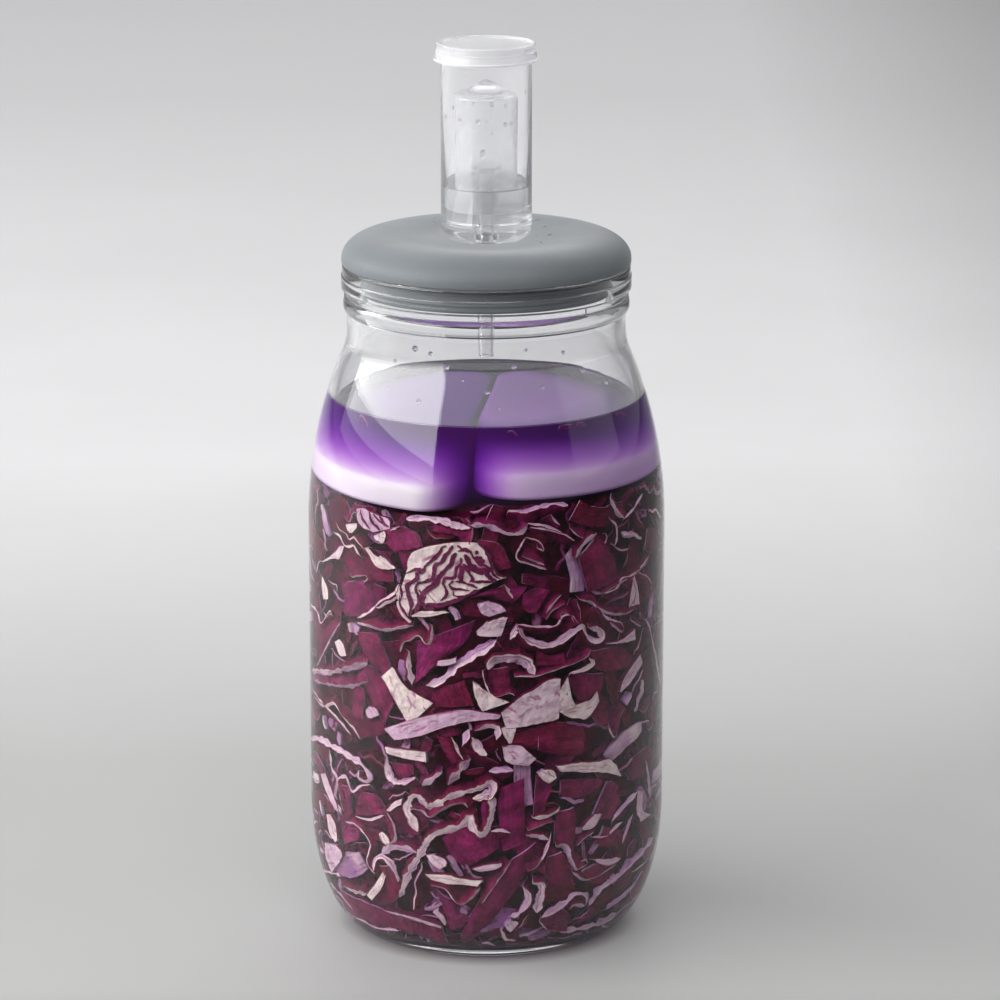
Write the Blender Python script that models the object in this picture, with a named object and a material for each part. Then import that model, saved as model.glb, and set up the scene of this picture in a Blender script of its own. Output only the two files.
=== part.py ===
"""A fermentation jar: a wide glass jar of shredded red cabbage, pressed down by two half-moon
weights and shut by a plug lid that carries a water airlock with its float and cap.

Lengths are in metres. The jar's foot stands on z = 0 and its axis is the Z axis. The camera side
of the object is -Y.
"""
import math
import random

import bmesh
import bpy
from mathutils import Vector

# Driving sizes of the glass jar
BODY_RADIUS = 0.0700
WALL = 0.0040
HEEL_CENTRE_RADIUS = 0.0480
HEEL_HEIGHT = 0.0520
FOOT_INNER_RADIUS = 0.0380
FOOT_ROUND = 0.0016
PUNT_HEIGHT = 0.0030
FLOOR_THICKNESS = 0.0060
FLOOR_DISH = 0.0020
SHOULDER_START = 0.1650
SHOULDER_ARC = 0.1720
SHOULDER_END = 0.2350
NECK_RADIUS = 0.0542
MOUTH_RADIUS = 0.0504
BEAD_RADIUS = 0.0557
BEAD_BOTTOM = 0.2485
BEAD_TOP = 0.2548
GROOVE_RADIUS = 0.0546
FLANGE_RADIUS = 0.0564
FLANGE_BOTTOM = 0.2576
FLANGE_STEP = 0.2630
FLANGE_STEP_DEPTH = 0.0004
RIM_TOP = 0.2672
RIM_ROUND = 0.0008

# Heights and places inside the jar that follow from them
FLOOR_TOP = PUNT_HEIGHT + FLOOR_THICKNESS
FLOOR_EDGE = FLOOR_TOP - FLOOR_DISH
HEEL_INNER_CENTRE = HEEL_CENTRE_RADIUS - WALL / 2

# Driving sizes of the lid
FIT_GAP = 0.0003
LID_RADIUS = 0.0562
LID_BOTTOM = RIM_TOP + FIT_GAP
LID_CREST_HEIGHT = 0.2785
LID_CREST_RADIUS = 0.0426
LID_EDGE_LIP = 0.0018
LID_DISH_RADIUS = 0.0200
LID_DISH_DEPTH = 0.0020
LID_PANEL = 0.0060
PLUG_RADIUS = 0.0492
PLUG_FIN_RADIUS = 0.0499
PLUG_FIN_HEIGHTS = (0.2645, 0.2605)
PLUG_FIN_HALF_HEIGHT = 0.0007
PLUG_INNER_RADIUS = 0.0450
PLUG_BOTTOM = 0.2575
PLUG_CHAMFER = 0.0010

# Driving sizes of the airlock
CUP_RADIUS = 0.0176
CUP_WALL = 0.0012
CUP_BOTTOM = LID_CREST_HEIGHT - LID_DISH_DEPTH + FIT_GAP
CUP_TOP = 0.3512
CUP_CORNER = 0.0050
CUP_RING_HEIGHT = 0.2844
CUP_RING_SIZE = 0.00025
CUP_FLOOR = 0.0016
TUBE_RADIUS = 0.0033
TUBE_MOUTH_RADIUS = 0.0062
TUBE_MOUTH_LIP = 0.0010
TUBE_TOP = 0.3045
TUBE_BORE = 0.0021
STEM_RADIUS = 0.0039
STEM_TAPER_START = 0.2640
STEM_TIP_RADIUS = 0.0030
STEM_TIP_BORE = 0.0019
STEM_BOTTOM = 0.2300
WATER_LEVEL = 0.2970
FLOAT_RADIUS = 0.0123
FLOAT_WALL = 0.0008
FLOAT_BOTTOM = 0.2880
FLOAT_SHOULDER = 0.3330
FLOAT_SHOULDER_ROUND = 0.0015
FLOAT_BOSS_RADIUS = 0.0066
FLOAT_BOSS_HEIGHT = 0.0020
FLOAT_PEAK = 0.3384
CAP_TOP = 0.3530
CAP_BOTTOM = 0.3461
CAP_RADIUS = 0.0190
CAP_STEP = 0.0004
CAP_STEP_HEIGHT = 0.3501
CAP_LIP_RADIUS = 0.0203
CAP_LIP_THICKNESS = 0.0012
CAP_PANEL_DROP = 0.0007
CAP_RIM_WIDTH = 0.0012

# Driving sizes of the two weights
WEIGHT_RADIUS = 0.0626
WEIGHT_THICKNESS = 0.0230
WEIGHT_CORNER = 0.0150
WEIGHT_BOTTOM_EDGE = 0.0020
WEIGHT_SIDE_HEIGHT = 0.0070
WEIGHT_SIDE_LEAN = 0.08
WEIGHT_SHOULDER_WIDTH = 0.0018
WEIGHT_SHOULDER_HEIGHT = 0.0036
WEIGHT_DOME_WIDTH = 0.0250
WEIGHT_CUT = 0.0012
WEIGHT_CUT_EDGE = 0.0030
WEIGHT_GAP_TURN = math.radians(-6.0)
LEFT_WEIGHT_PLACE = (-0.0008, -0.0013, 0.1848)
LEFT_WEIGHT_TILT = math.radians(2.2)
RIGHT_WEIGHT_PLACE = (-0.0003, -0.0004, 0.1880)
RIGHT_WEIGHT_ROLL = math.radians(1.5)

# Driving sizes of the cabbage
CABBAGE_CLEARANCE = 0.0006
CORE_DEPTH = 0.0062
CORE_LUMP = 0.0013
CORE_TOP = 0.1780
CORE_RIGHT_RISE = 0.0040
CORE_SIDES = 28
CORE_ROWS = 9
SHRED_SEED = 48
SHRED_ROWS = 8
SHREDS_PER_ROW = 9
SHRED_LOWEST = 0.0160
SHRED_HIGHEST = 0.1820
SHRED_LENGTHS = (0.022, 0.040)
SHRED_WIDTHS = (0.008, 0.013)
SHRED_THICKNESSES = (0.0018, 0.0026)
SHRED_WAVES = (0.0010, 0.0022)
SHRED_BENDS = 3
SHRED_STEEPEST_LEAN = 38.0
FACE_ON_SHARE = 0.4
FACE_ON_TILTS = (25.0, 45.0)
EDGE_ON_TILTS = (65.0, 100.0)
ROW_JITTER = 0.3
PLACE_JITTER = 0.25

# Numbers of sides of the turned pieces
JAR_SIDES = 40
LID_SIDES = 36
AIRLOCK_SIDES = 24


def clear_scene():
    for obj in list(bpy.data.objects):
        bpy.data.objects.remove(obj, do_unlink=True)


def make_material(name, colour, roughness, transmission=0.0, alpha=1.0):
    material = bpy.data.materials.new(name)
    material.use_nodes = True
    shader = material.node_tree.nodes["Principled BSDF"]
    shader.inputs["Base Color"].default_value = (*colour, 1.0)
    shader.inputs["Roughness"].default_value = roughness
    shader.inputs["Metallic"].default_value = 0.0
    shader.inputs["Transmission Weight"].default_value = transmission
    shader.inputs["Alpha"].default_value = alpha
    return material


def shade(mesh):
    """Smooth shading, except across sharp edges."""
    mesh.shade_smooth()
    mesh.set_sharp_from_angle(angle=math.radians(35.0))


def object_from_bmesh(name, bm, material):
    """A scene object made of the bmesh, with its faces turned outward."""
    bmesh.ops.recalc_face_normals(bm, faces=bm.faces)
    mesh = bpy.data.meshes.new(name)
    bm.to_mesh(mesh)
    bm.free()
    shade(mesh)
    mesh.materials.append(material)
    obj = bpy.data.objects.new(name, mesh)
    bpy.context.scene.collection.objects.link(obj)
    return obj


def arc(centre_r, centre_z, half_width, half_height, start, end, steps):
    """Points (radius, height) on an elliptical arc, with its angles in degrees."""
    points = []
    for index in range(steps + 1):
        angle = math.radians(start + (end - start) * index / steps)
        radius = centre_r + half_width * math.cos(angle)
        height = centre_z + half_height * math.sin(angle)
        points.append((radius, height))
    return points


def turned(name, profile, sides, material, closed=False):
    """The profile of (radius, height) points turned about the Z axis.

    A closed profile makes a ring, and an open one starts and ends on the axis.
    """
    bm = bmesh.new()
    verts = [bm.verts.new((radius, 0.0, height)) for radius, height in profile]
    edges = [bm.edges.new(pair) for pair in zip(verts, verts[1:])]
    if closed:
        edges.append(bm.edges.new((verts[-1], verts[0])))
    bmesh.ops.spin(bm, geom=verts + edges, cent=(0, 0, 0), axis=(0, 0, 1),
                   angle=math.tau, steps=sides, use_merge=True)
    bmesh.ops.remove_doubles(bm, verts=bm.verts, dist=0.000001)
    return object_from_bmesh(name, bm, material)


def shoulder_radius(height, arc_radius):
    centre = BODY_RADIUS - SHOULDER_ARC
    return centre + math.sqrt(arc_radius ** 2 - (height - SHOULDER_START) ** 2)


def inner_radius(height):
    """Radius of the jar's inner wall at a height between its floor and its neck."""
    if height >= SHOULDER_END:
        return MOUTH_RADIUS
    if height >= SHOULDER_START:
        return shoulder_radius(height, SHOULDER_ARC - WALL)
    if height >= HEEL_HEIGHT:
        return BODY_RADIUS - WALL
    drop = min(1.0, (HEEL_HEIGHT - height) / (HEEL_HEIGHT - FLOOR_EDGE))
    reach = BODY_RADIUS - WALL - HEEL_INNER_CENTRE
    return HEEL_INNER_CENTRE + reach * math.sqrt(1.0 - drop * drop)


def shoulder_points(arc_radius, start, end, steps):
    heights = [start + (end - start) * index / steps for index in range(steps + 1)]
    return [(shoulder_radius(height, arc_radius), height) for height in heights]


def build_jar(material):
    """The glass: floor and inner wall upward, over the rim, then the outer wall downward."""
    step_radius = FLANGE_RADIUS - FLANGE_STEP_DEPTH
    profile = [(0.0, FLOOR_TOP), (HEEL_INNER_CENTRE * 0.6, FLOOR_TOP - FLOOR_DISH * 0.35)]
    profile += arc(HEEL_INNER_CENTRE, HEEL_HEIGHT, BODY_RADIUS - WALL - HEEL_INNER_CENTRE,
                   HEEL_HEIGHT - FLOOR_EDGE, -90, 0, 6)
    profile += shoulder_points(SHOULDER_ARC - WALL, SHOULDER_START, SHOULDER_END, 5)
    profile += [(MOUTH_RADIUS, SHOULDER_END + WALL), (MOUTH_RADIUS, RIM_TOP - RIM_ROUND)]
    profile += [(MOUTH_RADIUS + RIM_ROUND, RIM_TOP), (step_radius - RIM_ROUND, RIM_TOP)]
    profile += [(step_radius, RIM_TOP - RIM_ROUND), (step_radius, FLANGE_STEP)]
    profile.append((FLANGE_RADIUS, FLANGE_STEP - FLANGE_STEP_DEPTH))
    profile.append((FLANGE_RADIUS, FLANGE_BOTTOM + RIM_ROUND))
    profile += [(GROOVE_RADIUS, FLANGE_BOTTOM), (GROOVE_RADIUS, BEAD_TOP + RIM_ROUND)]
    profile += [(BEAD_RADIUS, BEAD_TOP - RIM_ROUND), (BEAD_RADIUS, BEAD_BOTTOM + RIM_ROUND)]
    profile += [(NECK_RADIUS, BEAD_BOTTOM), (NECK_RADIUS, SHOULDER_END + WALL)]
    profile += reversed(shoulder_points(SHOULDER_ARC, SHOULDER_START, SHOULDER_END, 5))
    profile += arc(HEEL_CENTRE_RADIUS, HEEL_HEIGHT, BODY_RADIUS - HEEL_CENTRE_RADIUS,
                   HEEL_HEIGHT, 0, -90, 7)
    profile.append((FOOT_INNER_RADIUS, 0.0))
    profile += [(FOOT_INNER_RADIUS - 2 * FOOT_ROUND, FOOT_ROUND), (0.0, PUNT_HEIGHT)]
    return turned("jar", profile, JAR_SIDES, material)


def build_lid(material):
    """A domed silicone lid whose ribbed plug drops into the mouth, with a hole for the stem."""
    hole = STEM_RADIUS + FIT_GAP
    panel_top = LID_CREST_HEIGHT - LID_DISH_DEPTH
    panel_bottom = panel_top - LID_PANEL
    edge_top = LID_BOTTOM + LID_EDGE_LIP
    profile = [(hole, panel_bottom), (hole, panel_top), (LID_DISH_RADIUS, panel_top)]
    for share in (0.25, 0.5, 0.75):
        radius = LID_DISH_RADIUS + (LID_CREST_RADIUS - LID_DISH_RADIUS) * share
        rise = 0.5 - 0.5 * math.cos(math.pi * share)
        profile.append((radius, panel_top + LID_DISH_DEPTH * rise))
    profile += arc(LID_CREST_RADIUS, edge_top, LID_RADIUS - LID_CREST_RADIUS,
                   LID_CREST_HEIGHT - edge_top, 90, 0, 7)
    profile += [(LID_RADIUS - FIT_GAP, LID_BOTTOM), (PLUG_RADIUS, LID_BOTTOM)]
    for height in PLUG_FIN_HEIGHTS:
        profile.append((PLUG_RADIUS, height + PLUG_FIN_HALF_HEIGHT))
        profile.append((PLUG_FIN_RADIUS, height))
        profile.append((PLUG_RADIUS, height - PLUG_FIN_HALF_HEIGHT))
    profile += [(PLUG_RADIUS - PLUG_CHAMFER, PLUG_BOTTOM), (PLUG_INNER_RADIUS, PLUG_BOTTOM)]
    profile.append((PLUG_INNER_RADIUS - PLUG_CHAMFER, panel_bottom))
    return turned("lid", profile, LID_SIDES, material, closed=True)


def build_airlock_body(material):
    """A clear cup with a tube up its middle and a tapered stem down through the lid."""
    inner = CUP_RADIUS - CUP_WALL
    floor = CUP_BOTTOM + CUP_FLOOR
    inner_corner = CUP_CORNER - CUP_WALL
    profile = [(inner, CUP_TOP), (CUP_RADIUS, CUP_TOP)]
    profile.append((CUP_RADIUS, CUP_RING_HEIGHT + 2 * CUP_RING_SIZE))
    profile.append((CUP_RADIUS + CUP_RING_SIZE, CUP_RING_HEIGHT))
    profile.append((CUP_RADIUS, CUP_RING_HEIGHT - 2 * CUP_RING_SIZE))
    profile += arc(CUP_RADIUS - CUP_CORNER, CUP_BOTTOM + CUP_CORNER, CUP_CORNER, CUP_CORNER,
                   0, -90, 4)
    profile += [(STEM_RADIUS, CUP_BOTTOM), (STEM_RADIUS, STEM_TAPER_START)]
    profile += [(STEM_TIP_RADIUS, STEM_BOTTOM), (STEM_TIP_BORE, STEM_BOTTOM)]
    profile += [(TUBE_BORE, TUBE_TOP), (TUBE_MOUTH_RADIUS, TUBE_TOP)]
    profile.append((TUBE_MOUTH_RADIUS, TUBE_TOP - TUBE_MOUTH_LIP))
    profile += [(TUBE_RADIUS, TUBE_TOP - 2 * TUBE_MOUTH_LIP), (TUBE_RADIUS, floor)]
    profile += arc(inner - inner_corner, floor + inner_corner, inner_corner, inner_corner,
                   -90, 0, 4)
    return turned("airlock_body", profile, AIRLOCK_SIDES, material, closed=True)


def build_airlock_float(material):
    """An inverted cup with a small pointed boss on its crown."""
    inner = FLOAT_RADIUS - FLOAT_WALL
    boss_top = FLOAT_SHOULDER + FLOAT_BOSS_HEIGHT
    shoulder_side = FLOAT_SHOULDER - FLOAT_SHOULDER_ROUND
    profile = [(0.0, FLOAT_PEAK), (FLOAT_BOSS_RADIUS * 0.35, FLOAT_PEAK - FLOAT_WALL)]
    profile += [(FLOAT_BOSS_RADIUS, boss_top), (FLOAT_BOSS_RADIUS, boss_top - FLOAT_WALL)]
    profile += [(FLOAT_RADIUS - FLOAT_SHOULDER_ROUND, FLOAT_SHOULDER)]
    profile += [(FLOAT_RADIUS, shoulder_side), (FLOAT_RADIUS, FLOAT_BOTTOM)]
    profile += [(inner, FLOAT_BOTTOM), (inner, shoulder_side - FLOAT_WALL / 2)]
    profile.append((inner - FLOAT_SHOULDER_ROUND, FLOAT_SHOULDER - FLOAT_WALL))
    profile.append((0.0, FLOAT_SHOULDER))
    return turned("airlock_float", profile, AIRLOCK_SIDES, material)


def build_airlock_cap(material):
    """A shallow push-on cap with a raised rim, a stepped skirt and a flared lip."""
    bore = CUP_RADIUS + FIT_GAP
    panel = CAP_TOP - CAP_PANEL_DROP
    skirt = CAP_RADIUS + CAP_STEP
    profile = [(0.0, panel), (CAP_RADIUS - CAP_RIM_WIDTH - CAP_STEP, panel)]
    profile += [(CAP_RADIUS - CAP_RIM_WIDTH, CAP_TOP), (CAP_RADIUS - CAP_STEP, CAP_TOP)]
    profile += [(CAP_RADIUS, CAP_TOP - CAP_STEP), (CAP_RADIUS, CAP_STEP_HEIGHT)]
    profile.append((skirt, CAP_STEP_HEIGHT - CAP_STEP))
    profile.append((skirt, CAP_BOTTOM + 2 * CAP_LIP_THICKNESS))
    profile.append((CAP_LIP_RADIUS, CAP_BOTTOM + CAP_LIP_THICKNESS))
    profile += [(CAP_LIP_RADIUS, CAP_BOTTOM), (bore, CAP_BOTTOM)]
    profile += [(bore, CUP_TOP + FIT_GAP), (0.0, CUP_TOP + FIT_GAP)]
    return turned("airlock_cap", profile, AIRLOCK_SIDES, material)


def build_airlock_water(material):
    """The ring of water in the cup, slotted where the float's wall dips into it."""
    inner = CUP_RADIUS - CUP_WALL - FIT_GAP
    tube = TUBE_RADIUS + FIT_GAP
    floor = CUP_BOTTOM + CUP_FLOOR + FIT_GAP
    corner = CUP_CORNER - CUP_WALL
    slot_outer = FLOAT_RADIUS + FIT_GAP
    slot_inner = FLOAT_RADIUS - FLOAT_WALL - FIT_GAP
    slot_floor = FLOAT_BOTTOM - FIT_GAP
    profile = [(slot_outer, WATER_LEVEL), (inner, WATER_LEVEL)]
    profile += arc(inner - corner, floor + corner, corner, corner, 0, -90, 4)
    profile += [(tube, floor), (tube, WATER_LEVEL), (slot_inner, WATER_LEVEL)]
    profile += [(slot_inner, slot_floor), (slot_outer, slot_floor)]
    return turned("airlock_water", profile, AIRLOCK_SIDES, material, closed=True)


def half_moon_outline(inset, cut_inset):
    """Outline of a half disc with rounded corners, flat side at x = 0, pulled in by the insets."""
    radius = WEIGHT_RADIUS - inset
    cut = WEIGHT_CUT + cut_inset
    corner = WEIGHT_CORNER - inset / 4
    corner_y = math.sqrt((radius - corner) ** 2 - (cut + corner) ** 2)
    turn = math.degrees(math.atan2(corner_y, cut + corner))
    outline = arc(0.0, 0.0, radius, radius, -turn, turn, 18)
    outline += arc(cut + corner, corner_y, corner, corner, turn, 180.0, 5)[1:]
    outline += arc(cut + corner, -corner_y, corner, corner, 180.0, 360.0 - turn, 5)[:-1]
    return outline


def weight_levels(round_steps, dome_steps):
    """(inset, height) of the weight's round side: edge, upright side, shoulder and dome."""
    edge = WEIGHT_BOTTOM_EDGE
    levels = arc(edge, edge, -edge, edge, -90, 0, round_steps)
    levels += arc(WEIGHT_SHOULDER_WIDTH, WEIGHT_SIDE_HEIGHT, -WEIGHT_SHOULDER_WIDTH,
                  WEIGHT_SHOULDER_HEIGHT, 0, 75, round_steps)
    inset, height = levels[-1]
    for step in range(1, dome_steps + 1):
        share = step / dome_steps
        rise = (WEIGHT_THICKNESS - height) * (1.0 - (1.0 - share) ** 2)
        levels.append((inset + (WEIGHT_DOME_WIDTH - inset) * share, height + rise))
    return levels


def build_weight(name, side, place, tilt, roll, material):
    """A half-moon weight, domed above its upright side, on the side -1 or +1 of the gap."""
    bm = bmesh.new()
    rings = []
    for inset, height in weight_levels(2, 4):
        above = max(0.0, height - WEIGHT_THICKNESS + WEIGHT_CUT_EDGE) / WEIGHT_CUT_EDGE
        below = max(0.0, WEIGHT_BOTTOM_EDGE - height)
        cut_inset = WEIGHT_CUT_EDGE * (1.0 - math.sqrt(1.0 - above ** 2)) + below / 2
        outline = half_moon_outline(inset + WEIGHT_SIDE_LEAN * height, cut_inset)
        rings.append([bm.verts.new((side * x, y, height)) for x, y in outline])
    count = len(rings[0])
    for lower, upper in zip(rings, rings[1:]):
        for index in range(count):
            following = (index + 1) % count
            bm.faces.new((lower[index], lower[following], upper[following], upper[index]))
    bm.faces.new(rings[0])
    bm.faces.new(rings[-1])
    obj = object_from_bmesh(name, bm, material)
    obj.location = place
    obj.rotation_euler = (tilt, roll, WEIGHT_GAP_TURN)
    return obj


def cabbage_ceiling(x, y):
    """Height that the cabbage reaches below the weights at a place in plan."""
    across = x * math.cos(WEIGHT_GAP_TURN) + y * math.sin(WEIGHT_GAP_TURN)
    along = y * math.cos(WEIGHT_GAP_TURN) - x * math.sin(WEIGHT_GAP_TURN)
    if across > 0.0:
        return RIGHT_WEIGHT_PLACE[2] - across * math.tan(RIGHT_WEIGHT_ROLL) - CABBAGE_CLEARANCE
    return LEFT_WEIGHT_PLACE[2] + along * math.tan(LEFT_WEIGHT_TILT) - CABBAGE_CLEARANCE


def settle(section):
    """One cross-section, as (radius, angle, height) points, moved inside glass and weights."""
    floor = FLOOR_TOP + CABBAGE_CLEARANCE
    lift = max(0.0, floor - min(height for _, _, height in section))
    drop = 0.0
    for radius, angle, height in section:
        ceiling = cabbage_ceiling(radius * math.cos(angle), radius * math.sin(angle))
        drop = max(drop, height - ceiling)
    section = [(radius, angle, height + lift - drop) for radius, angle, height in section]
    inward = 0.0
    for radius, _, height in section:
        inward = max(inward, radius - inner_radius(height) + CABBAGE_CLEARANCE)
    points = []
    for radius, angle, height in section:
        reach = radius - inward
        points.append(Vector((reach * math.cos(angle), reach * math.sin(angle), height)))
    return points


def build_core(rng, material):
    """The packed middle of the cabbage, a lumpy cylinder a few millimetres inside the glass."""
    floor = FLOOR_TOP + CABBAGE_CLEARANCE
    bm = bmesh.new()
    rings = []
    for row in range(CORE_ROWS + 1):
        height = floor + (CORE_TOP - floor) * row / CORE_ROWS
        ring = []
        for side in range(CORE_SIDES):
            angle = math.tau * side / CORE_SIDES
            radius = inner_radius(height) - CORE_DEPTH + rng.uniform(-CORE_LUMP, CORE_LUMP)
            raised = row == CORE_ROWS and math.cos(angle) > 0.1
            place = (radius, angle, height + CORE_RIGHT_RISE * raised)
            ring.append(bm.verts.new(settle([place])[0]))
        rings.append(ring)
    low_centre = bm.verts.new((0.0, 0.0, floor))
    high_centre = bm.verts.new((0.0, 0.0, CORE_TOP))
    for side in range(CORE_SIDES):
        following = (side + 1) % CORE_SIDES
        bm.faces.new((low_centre, rings[0][following], rings[0][side]))
        bm.faces.new((high_centre, rings[-1][side], rings[-1][following]))
        for lower, upper in zip(rings, rings[1:]):
            bm.faces.new((lower[side], lower[following], upper[following], upper[side]))
    return object_from_bmesh("cabbage", bm, material)


def add_strip(bm, sections):
    """A closed wavy strip through its cross-sections, each of four points."""
    rings = [[bm.verts.new(point) for point in section] for section in sections]
    for start, end in zip(rings, rings[1:]):
        for index in range(4):
            following = (index + 1) % 4
            first = (start[index], start[following], end[following])
            second = (start[index], end[following], end[index])
            bm.faces.new(first)
            bm.faces.new(second)
    bm.faces.new(rings[0])
    bm.faces.new(rings[-1])


def shred_sections(rng, angle, height):
    """Cross-sections of one shred of leaf that leans face-on or edge-on to the glass."""
    length = rng.uniform(*SHRED_LENGTHS)
    width = rng.uniform(*SHRED_WIDTHS)
    thickness = rng.uniform(*SHRED_THICKNESSES)
    lean = math.radians(rng.uniform(-SHRED_STEEPEST_LEAN, SHRED_STEEPEST_LEAN))
    tilts = FACE_ON_TILTS if rng.random() < FACE_ON_SHARE else EDGE_ON_TILTS
    tilt = math.radians(rng.uniform(*tilts)) * rng.choice((-1, 1))
    phase = rng.uniform(0, math.tau)
    wave = rng.uniform(*SHRED_WAVES)
    middle = inner_radius(height) - CABBAGE_CLEARANCE - thickness / 2
    middle -= width / 2 * abs(math.sin(tilt))
    sections = []
    for step in range(SHRED_BENDS + 1):
        share = step / SHRED_BENDS - 0.5
        along = share * length
        bend = wave * math.sin(phase + share * math.tau)
        section = []
        for across, through in ((-0.5, -0.5), (0.5, -0.5), (0.5, 0.5), (-0.5, 0.5)):
            side = across * width
            depth = through * thickness + bend
            inward = side * math.sin(tilt) + depth * math.cos(tilt)
            upward = side * math.cos(tilt) - depth * math.sin(tilt)
            turn = (along * math.cos(lean) - upward * math.sin(lean)) / middle
            rise = along * math.sin(lean) + upward * math.cos(lean)
            section.append((middle - inward, angle + turn, height + rise))
        sections.append(settle(section))
    return sections


def build_shreds(rng, material):
    """Separate shreds all round the core, as objects of their own collection."""
    collection = bpy.data.collections.new("shreds")
    bpy.context.scene.collection.children.link(collection)
    for row in range(SHRED_ROWS):
        for place in range(SHREDS_PER_ROW):
            stagger = 0.5 * (row % 2) + rng.uniform(-PLACE_JITTER, PLACE_JITTER)
            angle = math.tau * (place + stagger) / SHREDS_PER_ROW
            level = (row + rng.uniform(-ROW_JITTER, ROW_JITTER)) / (SHRED_ROWS - 1)
            height = SHRED_LOWEST + (SHRED_HIGHEST - SHRED_LOWEST) * level
            bm = bmesh.new()
            add_strip(bm, shred_sections(rng, angle, height))
            obj = object_from_bmesh("shred", bm, material)
            bpy.context.scene.collection.objects.unlink(obj)
            collection.objects.link(obj)
    return collection


def keep_largest_shell(obj):
    """Drops loose scraps and sealed hollows, which are shells of their own."""
    bm = bmesh.new()
    bm.from_mesh(obj.data)
    bmesh.ops.triangulate(bm, faces=bm.faces)
    seen = set()
    shells = []
    for start in bm.faces:
        if start in seen:
            continue
        shell = [start]
        seen.add(start)
        for face in shell:
            for edge in face.edges:
                for other in edge.link_faces:
                    if other not in seen:
                        seen.add(other)
                        shell.append(other)
        shells.append(shell)
    kept = set(max(shells, key=len))
    loose = [face for face in bm.faces if face not in kept]
    bmesh.ops.delete(bm, geom=loose, context="FACES")
    bm.to_mesh(obj.data)
    bm.free()
    shade(obj.data)


def build_cabbage(material):
    """The cabbage as one solid: its core with the outer shreds fused on."""
    rng = random.Random(SHRED_SEED)
    core = build_core(rng, material)
    shreds = build_shreds(rng, material)
    union = core.modifiers.new("Fuse", "BOOLEAN")
    union.operation = "UNION"
    union.operand_type = "COLLECTION"
    union.collection = shreds
    union.solver = "EXACT"
    graph = bpy.context.evaluated_depsgraph_get()
    fused = bpy.data.meshes.new_from_object(core.evaluated_get(graph))
    core.modifiers.clear()
    core.data = fused
    for obj in list(shreds.objects):
        bpy.data.objects.remove(obj, do_unlink=True)
    bpy.data.collections.remove(shreds)
    keep_largest_shell(core)
    return core


def main():
    clear_scene()
    glass = make_material("glass", (0.95, 0.97, 0.97), 0.02, 1.0, 0.35)
    silicone = make_material("silicone", (0.27, 0.30, 0.32), 0.55)
    clear_plastic = make_material("clear_plastic", (0.95, 0.95, 0.96), 0.05, 1.0, 0.35)
    frosted_plastic = make_material("frosted_plastic", (0.90, 0.90, 0.90), 0.30, 0.5)
    water = make_material("water", (0.93, 0.95, 0.97), 0.02, 1.0, 0.4)
    ceramic = make_material("ceramic", (0.88, 0.86, 0.84), 0.25)
    leaf = make_material("red_cabbage", (0.20, 0.02, 0.09), 0.45)
    build_jar(glass)
    build_lid(silicone)
    build_airlock_body(clear_plastic)
    build_airlock_float(frosted_plastic)
    build_airlock_cap(frosted_plastic)
    build_airlock_water(water)
    build_weight("weight_left", -1, LEFT_WEIGHT_PLACE, LEFT_WEIGHT_TILT, 0.0, ceramic)
    build_weight("weight_right", 1, RIGHT_WEIGHT_PLACE, 0.0, RIGHT_WEIGHT_ROLL, ceramic)
    build_cabbage(leaf)


main()
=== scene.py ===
"""The looks of a fermentation jar: clear glass round shredded red cabbage in violet brine, with
two white half-moon weights, a grey silicone lid and a water airlock.

Lengths are in metres, but the sizes of single shreds are in millimetres, as their names say.
The camera looks along +Y from the front, -Y, and angles round the jar start there, towards +X.
"""
import math

import bmesh
import bpy
import numpy as np
from mathutils import Euler, Matrix, Vector
from mathutils.bvhtree import BVHTree


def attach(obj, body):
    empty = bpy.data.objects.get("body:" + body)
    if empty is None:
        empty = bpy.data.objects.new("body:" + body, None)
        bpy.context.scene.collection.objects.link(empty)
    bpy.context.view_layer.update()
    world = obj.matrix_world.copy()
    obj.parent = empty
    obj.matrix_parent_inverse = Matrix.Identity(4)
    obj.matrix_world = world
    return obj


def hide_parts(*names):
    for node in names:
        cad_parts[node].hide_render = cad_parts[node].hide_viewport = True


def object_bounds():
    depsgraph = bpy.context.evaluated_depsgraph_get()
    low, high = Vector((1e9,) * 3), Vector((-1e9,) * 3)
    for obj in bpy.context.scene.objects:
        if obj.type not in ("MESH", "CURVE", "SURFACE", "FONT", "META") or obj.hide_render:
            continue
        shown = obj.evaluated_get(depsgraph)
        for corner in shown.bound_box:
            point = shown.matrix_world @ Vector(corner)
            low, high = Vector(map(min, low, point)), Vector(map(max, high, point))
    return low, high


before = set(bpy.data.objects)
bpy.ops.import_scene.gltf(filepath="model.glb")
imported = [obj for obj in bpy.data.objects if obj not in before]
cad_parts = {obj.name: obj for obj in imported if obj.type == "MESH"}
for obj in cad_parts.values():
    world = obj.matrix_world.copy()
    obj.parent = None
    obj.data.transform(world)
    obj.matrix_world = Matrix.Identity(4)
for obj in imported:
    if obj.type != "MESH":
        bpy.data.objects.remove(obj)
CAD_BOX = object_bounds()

MM = 0.001
# Gap between pieces that sit on or in each other, and the roundings of fine edges
CLEARANCE = 0.0003
FINE_ROUND = 0.0003
EDGE_ROUND = 0.0006

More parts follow.
